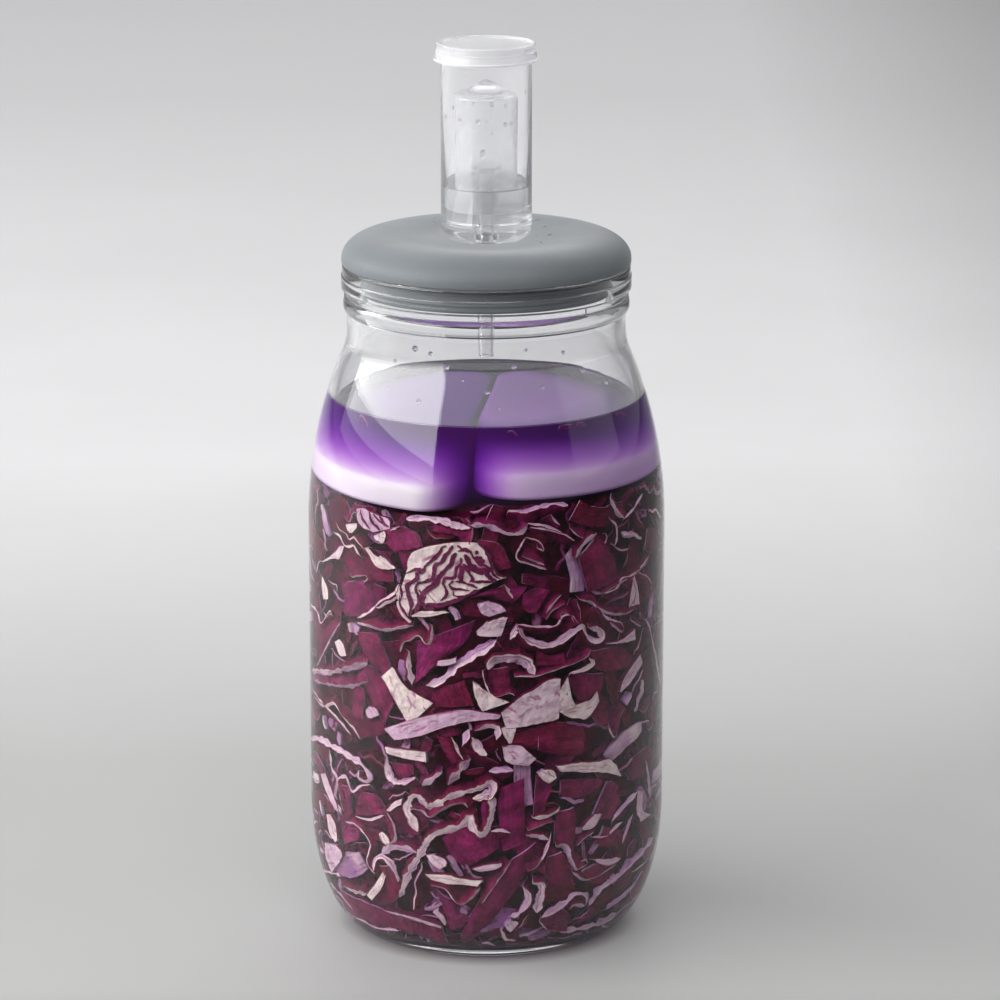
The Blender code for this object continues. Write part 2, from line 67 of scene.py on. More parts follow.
# The jar's sizes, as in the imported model
BODY_RADIUS = 0.0700
WALL = 0.0040
HEEL_CENTRE_RADIUS = 0.0480
HEEL_HEIGHT = 0.0520
FOOT_INNER_RADIUS = 0.0380
FOOT_ROUND = 0.0016
PUNT_HEIGHT = 0.0030
FLOOR_TOP = 0.0090
FLOOR_DISH = 0.0020
FLOOR_EDGE = FLOOR_TOP - FLOOR_DISH
HEEL_INNER_CENTRE = HEEL_CENTRE_RADIUS - WALL / 2
SHOULDER_START = 0.1650
SHOULDER_ARC = 0.1720
SHOULDER_END = 0.2350
NECK_RADIUS = 0.0542
MOUTH_RADIUS = 0.0504
BEAD_RADIUS = 0.0557
BEAD_BOTTOM = 0.2485
BEAD_TOP = 0.2548
GROOVE_RADIUS = 0.0546
FLANGE_RADIUS = 0.0564
FLANGE_BOTTOM = 0.2576
FLANGE_STEP = 0.2630
FLANGE_STEP_DEPTH = 0.0004
RIM_TOP = 0.2672
RIM_ROUND = 0.0008
NECK_FILLET = 0.0022
NECK_STEP = 0.0005
NECK_FILLET_REACH = 2.5
NECK_WALL_CHANGE = (0.230, 0.243)
NECK_CURVE_START = SHOULDER_START + 0.04
NECK_CURVE_END = BEAD_BOTTOM + 0.012
NECK_KEPT_FROM = SHOULDER_END - 0.010
NECK_KEPT_TO = BEAD_BOTTOM - 0.0015
SEAM_ANGLES = (0.0, 44.0)
SEAM_HEIGHT = 0.00025
SEAM_HALF_WIDTH = 0.0003

# Lid
LID_RADIUS = 0.0562
LID_BOTTOM = RIM_TOP + CLEARANCE
LID_CREST_HEIGHT = 0.2785
LID_CREST_RADIUS = 0.0426
LID_EDGE_LIP = 0.0018
LID_DISH_RADIUS = 0.0200
LID_DISH_DEPTH = 0.0020
LID_PANEL = 0.0060
PLUG_RADIUS = 0.0492
PLUG_FIN_RADIUS = 0.0499
PLUG_FIN_HEIGHTS = (0.2645, 0.2605)
PLUG_FIN_HALF_HEIGHT = 0.0007
PLUG_INNER_RADIUS = 0.0450
PLUG_BOTTOM = 0.2575
PLUG_CHAMFER = 0.0010

# Airlock
CUP_RADIUS = 0.0176
CUP_WALL = 0.0012
CUP_BOTTOM = LID_CREST_HEIGHT - LID_DISH_DEPTH + CLEARANCE
CUP_TOP = 0.3512
CUP_CORNER = 0.0050
CUP_RING_HEIGHT = 0.2844
CUP_RING_SIZE = 0.0005
CUP_FLOOR = 0.0016
CUP_INNER = CUP_RADIUS - CUP_WALL
CUP_FLOOR_TOP = CUP_BOTTOM + CUP_FLOOR
CUP_INNER_CORNER = CUP_CORNER - CUP_WALL
TUBE_RADIUS = 0.0033
TUBE_MOUTH_RADIUS = 0.0062
TUBE_MOUTH_LIP = 0.0010
TUBE_TOP = 0.3045
TUBE_BORE = 0.0021
STEM_RADIUS = 0.0039
STEM_TAPER_START = 0.2640
STEM_TIP_RADIUS = 0.0030
STEM_TIP_BORE = 0.0019
STEM_BOTTOM = 0.2300
WATER_LEVEL = 0.2970
FLOAT_RADIUS = 0.0123
FLOAT_WALL = 0.0008
FLOAT_BOTTOM = 0.2880
FLOAT_SHOULDER = 0.3330
FLOAT_SHOULDER_ROUND = 0.0015
FLOAT_BOSS_RADIUS = 0.0066
FLOAT_BOSS_HEIGHT = 0.0020
FLOAT_PEAK = 0.3384
CAP_TOP = 0.3530
CAP_BOTTOM = 0.3461
CAP_RADIUS = 0.0190
CAP_STEP = 0.0004
CAP_STEP_HEIGHT = 0.3501
CAP_LIP_RADIUS = 0.0203
CAP_LIP_THICKNESS = 0.0012
CAP_PANEL_DROP = 0.0007
CAP_RIM_WIDTH = 0.0012

# Weights
WEIGHT_RADIUS = 0.0626
WEIGHT_THICKNESS = 0.0230
WEIGHT_CORNER = 0.0150
WEIGHT_BOTTOM_EDGE = 0.0020
WEIGHT_SIDE_HEIGHT = 0.0070
WEIGHT_SIDE_LEAN = 0.08
WEIGHT_SHOULDER_WIDTH = 0.0018
WEIGHT_SHOULDER_HEIGHT = 0.0036
WEIGHT_DOME_WIDTH = 0.0250
WEIGHT_CUT = 0.0006
WEIGHT_CUT_EDGE = 0.0022
WEIGHT_GAP_TURN = math.radians(-6.0)
LEFT_WEIGHT_PLACE = (-0.0010, -0.0016, 0.1848)
LEFT_WEIGHT_TILT = math.radians(2.2)
RIGHT_WEIGHT_PLACE = (-0.0003, -0.0004, 0.1880)
RIGHT_WEIGHT_ROLL = math.radians(1.5)

# Brine: its level and what a metre of it takes from red, green and blue light
BRINE_LEVEL = 0.2146
BRINE_MENISCUS = 0.0010
BRINE_MENISCUS_WIDTH = 0.0022
INTO_WALL = 0.0003
BRINE_DENSITY = 155.0
BRINE_COLOUR = (0.51, 0.058, 0.714)
GLASS_IOR = 1.5
WATER_IOR = 1.333
# Share of its own mirroring that a surface keeps where glass and liquid touch
WET_REFLECTION = 0.08
# Share of the light that the mist in the neck and the airlock's cloudy plastic scatter
NECK_MIST = 0.16
PLASTIC_MIST = 0.07
BRINE_CLOUDINESS = 0.075

# Camera, at the photograph's place
CAMERA_PLACE = (0.0053, -1.7242, 0.6190)
CAMERA_TILT_DEGREES = 75.464
CAMERA_LENS_MM = 163.285
SENSOR_MM = 36.0
PHOTO_PIXELS = 1000
# Where a ray's search for the glass starts, how far it goes on, how far it then goes inside,
# its steps and how often the last one is halved
RAY_START = 1.55
RAY_SEARCH = 0.4
RAY_INSIDE = 0.06
RAY_STEP = 0.002
RAY_HALVINGS = 12

# How finely turned pieces are divided, and the places on the floor from its middle to its edge
JAR_SIDES = 256
FLOOR_SHARES = np.linspace(0.1, 0.95, 10).tolist()
HEEL_STEPS = 28
LID_SIDES = 192
AIRLOCK_SIDES = 96

# Sizes of the layer of shreds behind the glass, in millimetres
WALL_CLEARANCE_MM = 0.10
CEILING_CLEARANCE_MM = 0.8
LAYER_DEEPEST_MM = 9.5
ANY_DEPTH_MM = 99.0
CORE_DEPTH_MM = 7.4
CORE_LUMP_MM = 2.0
CORE_BELOW_TOP_MM = 1.0
CORE_ROWS = 60
CORE_SIDES = 120
DEPTH_CELL_MM = 1.25
STATION_STEP_MM = 1.35
FINE_STEP_MM = 0.8
OUTLINE_MM = 0.36
FLANK_LEANS = (18.0, 52.0)
FLANK_WIDTHS_MM = (5.0, 9.0)
SKIN_BULGES_MM = (-0.8, 1.8)
PLACED_MARK_MM = 1.9
PLACED_TONE_SHARE = 0.65
PLATE_DEPTH_MM = 0.42
VEIN_DEPTH_MM = 0.12
VEIN_THICKNESS_MM = 0.3
VEIN_WIDENING = 1.25
VEIN_PALENESS = -0.75
DEEP_MM = 6.0
SHRED_SEED = 11
SHREDS_ALL_ROUND = 1150
# Random shreds go in over and over, deeper each time: deepest place, share of them, how much of
# their cut faces shows pale
SHRED_PASSES = ((5.5, 0.5, 1.0), (7.5, 0.35, 0.8), (LAYER_DEEPEST_MM, 0.15, 0.6))
TRIES_EACH = 6
SPOTS_TRIED = 12
# Shreds get shorter towards the floor, from this place down and by up to this share
SHORTER_BELOW_MM = 170.0
SHORTER_SHARE = 0.3
# Kinds of random shreds, each up to a share of them all. Lengths are in millimetres, roll is in
# degrees, and a pair is a range. pale is a paleness and how many have it, and tone is a mean
# and a spread.
SHRED_TONE = (0.42, 0.28)
SHRED_KINDS = (
    dict(group="leaves", up_to=0.44, length=(13, 36), width=(5.5, 12.5), thickness=(1.0, 1.8),
         ruffle=(0.2, 1.0), wavelength=15.0, roll=(0, 38), pale=(1.0, 0.10)),
    dict(group="edges", up_to=0.76, length=(12, 40), width=(3.5, 7.0), thickness=(1.1, 2.4),
         ruffle=(0.5, 1.9), wavelength=(8.0, 17.0), roll=(58, 100), pale=(0.0, 1), tone=(0.5, 0.3)),
    dict(group="ribs", up_to=0.84, length=(9, 26), width=(4.0, 8.0), thickness=(2.6, 4.6),
         ruffle=0.3, wavelength=20.0, roll=(20, 95), pale=(0.8, 1), tone=(0.3, 0.25)),
    dict(group="bits", up_to=1.0, length=(5, 15), width=(2.0, 4.5), thickness=(0.8, 1.8),
         ruffle=(0.2, 0.8), wavelength=9.0, roll=(0, 95), pale=(0.9, 0.3)),
)

# The clearest pieces of the front, by points in the photograph's pixels that were picked on
# enlarged crops. A cut line is a leaf's cut edge: its thickness in millimetres, its tone from
# cream to lilac, its points.
CUT_LINES = (
    (2.2, 0.5, ((359, 622), (371, 626), (385, 630), (401, 627), (414, 625))),
    (1.4, 0.4, ((401, 651), (405, 642), (411, 640), (419, 635), (427, 644), (432, 638), (433, 625))),
    (2.4, 0.3, ((410, 651), (409, 663), (411, 673), (413, 684))),
    (3.8, 0.15, ((427, 685), (442, 680), (456, 666), (471, 656), (486, 647), (496, 640))),
    (2.5, 0.35,
     ((510, 639), (514, 632), (518, 626), (524, 637), (536, 643), (550, 645), (562, 639), (573, 631),
      (582, 626), (587, 636), (595, 641), (601, 638), (598, 630), (587, 627))),
    (1.2, 0.7, ((518, 624), (536, 626), (555, 625), (562, 616), (571, 615), (577, 623))),
    (3.8, 0.2, ((488, 669), (492, 662), (504, 658), (518, 659), (528, 664), (534, 674))),
    (1, 0.6, ((483, 670), (485, 682), (493, 696), (509, 693), (514, 695))),
    (1.1, 0.7, ((514, 676), (536, 675), (555, 669), (576, 662), (587, 655), (590, 649))),
    (1.8, 0.5, ((569, 673), (583, 669), (592, 663), (588, 659))),
    (1, 0.7, ((602, 593), (615, 588), (621, 578), (633, 574), (642, 564), (647, 556))),
    (1.8, 0.5, ((609, 498), (616, 512), (623, 518))),
    (1.5, 0.6, ((623, 518), (633, 507), (641, 493))),
    (2.8, 0.5, ((313, 671), (331, 672), (350, 668), (368, 663))),
    (2.2, 0.8, ((314, 680), (333, 685), (352, 686), (369, 681))),
    (1.5, 0.35, ((315, 696), (325, 706), (335, 703), (343, 715), (354, 727), (362, 739))),
    (1.1, 0.5, ((314, 690), (322, 701), (333, 712), (342, 722), (352, 734))),
    (2, 0.2, ((504, 584), (509, 591), (512, 598))),
    (3.2, 0.45, ((407, 518), (423, 517), (438, 519), (453, 524), (470, 528))),
    (2.4, 0.95, ((470, 524), (489, 526), (508, 533), (522, 531), (527, 523))),
    (2.6, 1, ((508, 510), (524, 511), (538, 507), (555, 503), (567, 505))),
    (1.4, 0.5, ((359, 618), (371, 611), (381, 601), (394, 594), (400, 584))),
    (1.3, 0.75, ((578, 599), (590, 602), (600, 610), (614, 614), (630, 611), (635, 604))),
    (1.2, 0.7, ((473, 528), (472, 538), (470, 544))),
    (1.6, 0.6, ((630, 578), (635, 587), (634, 597), (628, 606))),
    (1.2, 0.6, ((311, 604), (318, 611), (322, 623), (331, 611), (333, 616))),
    (1.2, 0.5, ((342, 621), (335, 632), (328, 646), (318, 666))),
    (1, 0.6, ((635, 571), (647, 578), (652, 590))),
    (1.6, 0.8, ((607, 727), (614, 736), (621, 712), (623, 708))),
    (1.3, 0.8, ((545, 613), (554, 601), (560, 594))),
    (1.4, 0.85, ((595, 604), (607, 618), (621, 623), (621, 632), (609, 623))),
    (3, 0.35, ((388, 755), (388, 767), (391, 777), (397, 782), (407, 781), (416, 777))),
    (3.4, 0.3, ((470, 758), (463, 767), (456, 775), (448, 784))),
    (3.4, 0.95, ((489, 771), (503, 769), (513, 770))),
    (2.6, 0.9, ((442, 771), (432, 779), (423, 785))),
    (3.4, 0.3,
     ((418, 831), (413, 820), (408, 810), (411, 799), (418, 796), (427, 807), (436, 805), (449, 797),
      (465, 792), (480, 788), (490, 783), (492, 791), (482, 796), (473, 798))),
    (2, 0.4, ((411, 808), (423, 811), (430, 817), (440, 811), (451, 805), (463, 803), (468, 807))),
    (3, 0.3,
     ((489, 794), (493, 805), (490, 819), (486, 831), (480, 834), (473, 827), (470, 816), (465, 824),
      (453, 829), (439, 832), (430, 838), (423, 850), (416, 862), (409, 874), (404, 889), (401, 897))),
    (2.6, 0.6,
     ((311, 738), (321, 739), (333, 746), (343, 751), (354, 758), (364, 765), (371, 777), (367, 781),
      (359, 777), (360, 770))),
    (1.6, 0.7, ((331, 751), (333, 768), (338, 779), (336, 798), (343, 814))),
    (1.8, 0.5, ((371, 784), (361, 786), (353, 791), (347, 777), (339, 780), (341, 798), (346, 816))),
    (1.6, 0.6, ((388, 812), (394, 824), (396, 838), (390, 845))),
    (3.4, 0.85, ((383, 853), (392, 847), (407, 849), (418, 852))),
    (2.6, 0.5, ((373, 871), (376, 860), (383, 856), (392, 864), (400, 881))),
    (3.2, 0.15, ((344, 887), (357, 892), (368, 894))),
    (1.8, 0.4, ((431, 885), (446, 890), (456, 902), (463, 904), (473, 897), (480, 887))),
    (1, 0.6, ((482, 903), (496, 883), (510, 862))),
    (1.6, 0.35, ((532, 817), (545, 816), (556, 811), (559, 806))),
    (1.4, 0.6, ((593, 836), (604, 836), (617, 824), (621, 822))),
    (1.5, 0.6, ((621, 843), (626, 829), (631, 814))),
    (2, 0.8, ((610, 821), (619, 810), (636, 791))),
    (2.2, 0.7, ((526, 835), (538, 836), (548, 839))),
    (1.6, 0.8, ((527, 830), (536, 827), (552, 820))),
    (3.2, 0.55, ((555, 846), (565, 847), (571, 862), (577, 870), (586, 864), (585, 859))),
    (2.2, 0.75, ((593, 859), (607, 862), (619, 858))),
    (3.4, 0.4, ((588, 905), (598, 890), (607, 883), (617, 876), (631, 862), (652, 838))),
    (2.8, 0.35,
     ((541, 917), (555, 909), (567, 901), (574, 894), (586, 895), (584, 906), (575, 905), (568, 910))),
    (2.6, 0.35, ((560, 932), (581, 928), (603, 922), (616, 913))),
    (1.1, 0.6, ((538, 921), (548, 930), (565, 931))),
    (3.2, 0.6, ((532, 883), (541, 886), (539, 899), (536, 912))),
    (2.6, 0.9, ((522, 885), (528, 899), (518, 913), (508, 916))),
    (3.4, 0.3, ((472, 737), (481, 751), (487, 754))),
    (3, 0.6, ((475, 730), (489, 726), (498, 728), (496, 739))),
    (1.3, 0.6, ((452, 737), (458, 749), (463, 759))),
    (2.6, 0.85, ((463, 746), (466, 737), (469, 729))),
    (1.8, 0.6, ((645, 762), (648, 781), (649, 798))),
    (1.4, 0.4, ((348, 912), (364, 921), (378, 928), (400, 930))),
    (1.4, 0.5, ((357, 816), (371, 819), (386, 814))),
    (1.2, 0.6, ((331, 883), (342, 895), (354, 909))),
    (1.4, 0.7, ((347, 821), (359, 826), (371, 843), (368, 862), (376, 873))),
    (1.5, 0.6, ((324, 871), (333, 873), (342, 876))),
    (1.3, 0.6, ((538, 862), (545, 852), (550, 833))),
    (1.6, 0.7, ((576, 845), (583, 838), (593, 831))),
    (1.6, 0.6, ((527, 871), (536, 867), (541, 859))),
    (1.8, 0.5, ((491, 831), (501, 830), (510, 832))),
    (2.2, 0.7, ((604, 909), (619, 899), (633, 885), (641, 871))),
    (1.3, 0.7, ((571, 871), (583, 880), (597, 876), (614, 864))),
    (1.2, 0.6, ((482, 942), (489, 943), (495, 945))),
    (1.0, 0.45, ((337.9, 522.2), (341.4, 529.5), (347.9, 533.7), (350.9, 539.1), (355.5, 536.8),
     (360.5, 542.9), (365.5, 549.0))),
    (1.0, 0.35, ((334.9, 531.0), (341.0, 536.0), (346.7, 545.2), (351.7, 546.3), (355.2, 545.2),
     (358.6, 552.1), (362.0, 555.1))),
    (0.9, 0.5, ((324.1, 560.5), (319.9, 562.8), (317.6, 572.7))),
    (0.9, 0.95, ((345.6, 513.8), (347.9, 519.9), (350.9, 521.4), (354.0, 513.0), (357.1, 512.3),
     (357.8, 519.9))),
    (1.2, 0.5, ((391.5, 529.9), (399.9, 525.3))),
    (0.9, 0.6, ((351.7, 572.7), (354.0, 577.3), (358.6, 575.8), (366.3, 575.0), (368.6, 578.1),
     (364.7, 582.7))),
    (1.2, 0.5, ((376.2, 604.9), (379.3, 607.2), (385.4, 603.4), (393.1, 600.3), (399.2, 594.9))),
    (0.9, 0.6, ((329.5, 579.6), (334.1, 583.5), (337.9, 585.0), (338.7, 591.9))),
    (0.9, 0.7, ((324.9, 611.0), (328.0, 616.4), (330.3, 614.1), (333.3, 614.1))),
    (1.0, 0.75, ((523.8, 537.9), (515.8, 557.4), (531.9, 564.3), (545.7, 568.9))),
    (1.4, 0.8, ((521.6, 556.2), (543.4, 564.3))),
    (0.9, 0.8, ((526.1, 536.7), (538.8, 541.3), (543.4, 550.5), (536.5, 547.1))),
    (1.0, 0.85, ((529.6, 526.4), (548.0, 529.8), (564.0, 534.4), (573.2, 540.2))),
    (1.2, 0.95, ((527.3, 523.0), (543.4, 525.3), (561.7, 532.1))),
    (2.2, 0.95, ((550.3, 513.8), (554.8, 520.7), (559.4, 524.1))),
    (1.0, 0.95, ((568.6, 527.6), (575.5, 534.4), (582.4, 537.9))),
    (2.4, 0.6, ((574.4, 557.4), (582.4, 543.6), (595.0, 533.3))),
    (1.6, 0.6, ((545.7, 619.4), (552.5, 610.2), (564.0, 603.3))),
    (1.0, 0.7, ((559.4, 619.4), (561.7, 612.5), (568.6, 614.8), (573.2, 621.7))),
    (1.0, 0.7, ((575.5, 598.7), (579.0, 610.2), (580.1, 621.7))),
    (1.0, 0.7, ((608.8, 519.5), (615.0, 525.3), (615.0, 539.0), (612.7, 545.9))),
    (1.2, 0.5, ((603.1, 593.0), (619.1, 582.7), (632.9, 573.5), (644.4, 564.3), (647.8, 555.1))),
    (1.6, 0.6, ((630.6, 578.1), (635.2, 589.5), (632.9, 601.0), (628.3, 607.9))),
    (1.0, 0.6, ((642.1, 573.5), (649.0, 580.4), (650.1, 588.4))),
)

# Broad faces of cut flesh: tone from cream to lilac, one side, the other side
FLESH_FACES = (
    (0.45, ((476, 632), (479, 636), (501, 636)), ((487, 622), (496, 618), (508, 616))),
    (0.6, ((604, 643), (619, 640), (633, 629)), ((606, 644), (621, 643), (634, 640))),
    (0.5, ((632, 575), (629, 592), (627, 606)), ((633, 576), (637, 592), (638, 604))),
    (0, ((383, 676), (396, 701), (410, 725)), ((394, 666), (407, 686), (434, 702))),
    (0.85,
     ((385, 728), (406, 721), (432, 714), (460, 709), (481, 711), (501, 714)),
     ((396, 740), (419, 736), (442, 728), (465, 722), (482, 720), (499, 718))),
    (0.2, ((472, 682), (476, 701), (482, 711)), ((480, 686), (496, 696), (510, 701))),
    (0.5,
     ((501, 712), (520, 696), (533, 689), (546, 680), (560, 677)),
     ((506, 728), (520, 727), (539, 723), (551, 721), (558, 718))),
    (0.3, ((501, 728), (502, 734), (508, 743)), ((517, 724), (515, 732), (512, 742))),
    (0.15, ((555, 696), (562, 684), (567, 676)), ((558, 710), (574, 708), (571, 696))),
    (0.15,
     ((558, 710), (567, 705), (578, 703), (589, 699), (596, 690)),
     ((566, 716), (576, 718), (585, 719), (593, 710), (598, 701))),
    (0.5, ((618, 691), (624, 675), (639, 653)), ((620, 692), (631, 680), (641, 663))),
    (0.8, ((367, 710), (368, 716), (373, 718)), ((371, 705), (378, 708), (381, 714))),
    (0.9, ((477, 604), (481, 613), (489, 616)), ((489, 601), (501, 604), (506, 611))),
    (0.35, ((336, 642), (339, 651), (342, 657)), ((341, 639), (346, 646), (348, 655))),
    (0.6, ((438, 665), (446, 666), (456, 663)), ((439, 660), (447, 659), (456, 657))),
    (0.3, ((386, 746), (407, 749), (426, 751)), ((387, 753), (409, 759), (427, 762))),
    (0.75, ((322, 774), (326, 788), (337, 810)), ((327, 773), (333, 788), (341, 812))),
    (0.4, ((328, 814), (331, 833), (337, 842)), ((332, 814), (337, 824), (339, 840))),
    (0.1, ((379, 834), (383, 842), (388, 845)), ((384, 831), (390, 838), (392, 845))),
    (0.25, ((387, 810), (395, 801), (403, 798)), ((392, 811), (397, 807), (402, 805))),
    (0, ((368, 895), (376, 884), (383, 872)), ((374, 900), (383, 888), (387, 876))),
    (0.6, ((427, 855), (432, 864), (439, 869)), ((436, 854), (447, 859), (447, 865))),
    (0.25,
     ((425, 873), (446, 874), (465, 878), (482, 880)),
     ((432, 879), (446, 883), (463, 884), (477, 886))),
    (0.2, ((537, 773), (541, 779), (548, 783)), ((543, 769), (552, 769), (556, 777))),
    (0.35,
     ((556, 765), (578, 762), (596, 761), (607, 758), (614, 765)),
     ((559, 771), (583, 772), (597, 772), (609, 773), (620, 776))),
    (0.55, ((504, 925), (507, 930), (510, 932)), ((511, 919), (517, 921), (518, 923))),
    (0.6, ((385, 909), (413, 916), (443, 925)), ((390, 912), (413, 919), (442, 928))),
    (0.6, ((503, 755), (506, 762), (527, 766)), ((503, 746), (518, 744), (536, 758))),
    (0.5, ((636, 791), (635, 810), (639, 821)), ((642, 791), (642, 810), (650, 814))),
    (0.5, ((581, 827), (587, 820), (593, 814)), ((583, 830), (594, 826), (601, 813))),
    (0.65, ((472, 868), (486, 864), (502, 862)), ((479, 871), (493, 870), (501, 866))),
    (0.6, ((326, 843), (327, 857), (333, 873)), ((338, 845), (344, 854), (341, 862))),
    (0.6, ((434, 912), (442, 921), (446, 925)), ((439, 909), (445, 916), (447, 921))),
)

# Broad faces of skin: tone from maroon to magenta, one side, the other side
SKIN_FACES = (
    (0.85, ((341, 583), (342, 599), (343, 616)), ((362, 580), (372, 594), (374, 616))),
    (0.55, ((324, 627), (319, 649), (317, 668)), ((344, 621), (338, 632), (327, 651))),
    (0.45, ((357, 632), (363, 652), (383, 675)), ((378, 633), (384, 652), (391, 669))),
    (0.95, ((416, 642), (416, 663), (414, 684)), ((475, 621), (465, 642), (432, 670))),
    (0.35, ((488, 670), (489, 682), (494, 695)), ((508, 667), (510, 682), (509, 693))),
    (0.4, ((579, 557), (583, 573), (589, 592)), ((597, 533), (614, 557), (619, 580))),
    (0.9, ((463, 601), (484, 597), (512, 604)), ((470, 594), (503, 588), (528, 587))),
    (0.8, ((522, 605), (527, 611), (536, 613)), ((523, 594), (536, 588), (550, 590))),
    (0.2, ((430, 689), (431, 698), (433, 708)), ((464, 681), (469, 693), (474, 705))),
    (0.4, ((570, 674), (573, 689), (580, 701)), ((604, 673), (601, 689), (591, 698))),
    (0.15,
     ((512, 736), (536, 728), (557, 722), (583, 727)),
     ((512, 750), (536, 750), (557, 750), (586, 750))),
    (0.8, ((378, 528), (385, 542), (394, 552)), ((404, 526), (418, 535), (423, 547))),
    (0.6, ((432, 531), (451, 534), (470, 540)), ((434, 524), (451, 528), (470, 531))),
    (0.3, ((475, 545), (482, 561), (496, 571)), ((479, 540), (501, 545), (512, 568))),
    (0.55, ((368, 665), (383, 677), (394, 703)), ((359, 679), (371, 703), (383, 727))),
    (0.25, ((590, 651), (593, 665), (604, 672)), ((614, 646), (630, 651), (635, 665))),
    (0.3, ((538, 651), (550, 656), (564, 653)), ((536, 665), (550, 665), (564, 663))),
    (0.55, ((362, 791), (357, 803), (356, 815)), ((375, 795), (383, 805), (386, 814))),
    (0.95, ((482, 798), (481, 814), (483, 830)), ((489, 793), (491, 810), (488, 824))),
    (0.75, ((442, 838), (451, 857), (465, 869)), ((465, 826), (493, 833), (501, 847))),
    (0.9, ((435, 890), (442, 909), (451, 932)), ((455, 903), (463, 913), (470, 925))),
    (0.6,
     ((513, 859), (496, 880), (475, 909), (460, 941)),
     ((536, 843), (526, 871), (508, 902), (468, 952))),
    (0.8, ((501, 788), (498, 810), (503, 852)), ((524, 779), (525, 814), (524, 843))),
    (0.7, ((536, 775), (534, 798), (533, 816)), ((553, 782), (547, 801), (543, 815))),
    (0.45,
     ((342, 892), (378, 909), (406, 921), (442, 928)),
     ((348, 912), (371, 925), (404, 930), (449, 945))),
    (0.5, ((557, 812), (555, 826), (555, 843)), ((575, 807), (576, 826), (575, 843))),
    (0.35, ((548, 857), (545, 871), (550, 885)), ((562, 852), (571, 871), (574, 885))),
    (0.5, ((391, 762), (394, 772), (399, 779)), ((411, 765), (414, 771), (413, 775))),
    (0.3, ((434, 734), (442, 748), (451, 765)), ((451, 739), (460, 753), (463, 758))),
    (0.8, ((340, 784), (344, 796), (347, 810)), ((353, 787), (351, 798), (350, 810))),
    (0.3, ((538, 729), (560, 734), (583, 734)), ((538, 751), (560, 755), (583, 755))),
    (0.45, ((595, 843), (604, 847), (616, 847)), ((604, 826), (616, 829), (623, 831))),
    (0.4, ((581, 871), (593, 883), (602, 883)), ((595, 864), (609, 866), (616, 866))),
    (0.55, ((560, 796), (578, 798), (597, 791)), ((560, 781), (578, 779), (602, 779))),
    (0.6, ((593, 814), (602, 819), (609, 819)), ((607, 781), (616, 784), (619, 803))),
    (0.3, ((378, 866), (383, 880), (390, 895)), ((392, 866), (399, 883), (404, 895))),
)

# Slices cut across many leaves: tone, one side, the other side
PLATES = (
    (0.05, ((407.0, 615.9), (401.8, 604.7), (401.0, 591.2), (405.4, 577.6), (408.2, 567.3),
     (408.2, 560.1), (414.1, 550.9), (426.9, 546.2), (439.6, 543.4), (450.8, 541.9), (464.4, 541.4),
     (477.1, 541.8), (484.3, 547.3), (489.9, 554.5), (491.9, 562.5), (494.3, 568.1), (498.6, 573.3),
     (505.8, 576.4)), ((412.1, 615.5), (413.7, 609.5), (421.3, 604.0), (430.9, 603.6), (439.6, 604.0),
     (446.0, 602.4), (452.4, 600.8), (458.8, 598.4), (464.4, 596.0), (470.7, 592.8), (476.3, 590.4),
     (481.5, 588.0), (486.7, 585.6), (490.7, 583.6), (494.6, 581.6), (498.6, 580.0), (502.6, 578.4),
     (506.0, 577.3))),
    (0.15, ((412.1, 615.1), (421.3, 609.9), (430.9, 610.3), (438.0, 610.2), (444.4, 609.9),
     (450.0, 611.5)), ((413.3, 616.7), (421.3, 617.1), (428.5, 616.9), (436.5, 615.5), (442.8, 613.5),
     (449.2, 612.7))),
    (0.35, ((397.4, 600.8), (399.0, 609.5), (403.8, 617.5), (410.1, 622.3)), ((399.8, 600.0),
     (401.8, 607.9), (407.0, 615.1), (413.3, 620.7))),
    (0.3, ((395.8, 588.0), (396.6, 592.8), (398.2, 598.4)), ((400.6, 584.8), (401.4, 592.0),
     (399.8, 599.2))),
    (0.8, ((357.8, 508.4), (357.8, 515.3), (359.4, 522.2), (366.3, 528.3), (373.9, 531.4)),
     ((364.7, 508.0), (372.4, 511.5), (381.6, 515.3), (390.4, 519.1), (391.5, 528.3))),
    (0.35, ((347.1, 523.7), (347.9, 528.3), (350.9, 532.2)), ((358.6, 523.0), (358.6, 526.8),
     (354.0, 532.2))),
    (0.1, ((365.5, 547.5), (370.1, 555.1), (375.4, 564.3), (381.6, 568.1), (390.8, 569.7)),
     ((370.1, 547.5), (378.5, 556.3), (384.6, 553.6), (391.5, 559.7), (396.9, 568.1))),
    (0.2, ((374.7, 536.0), (377.7, 540.6), (383.9, 542.9)), ((385.4, 530.6), (387.3, 533.7),
     (385.4, 541.3))),
    (0.45, ((323.4, 560.9), (330.3, 557.0), (337.9, 549.8), (341.0, 545.9)), ((324.9, 562.0),
     (335.6, 558.2), (341.0, 559.0), (346.0, 545.9))),
    (0.15, ((323.0, 576.6), (323.0, 588.1), (324.5, 599.5)), ((324.1, 575.8), (328.7, 586.5),
     (329.9, 598.8))),
)

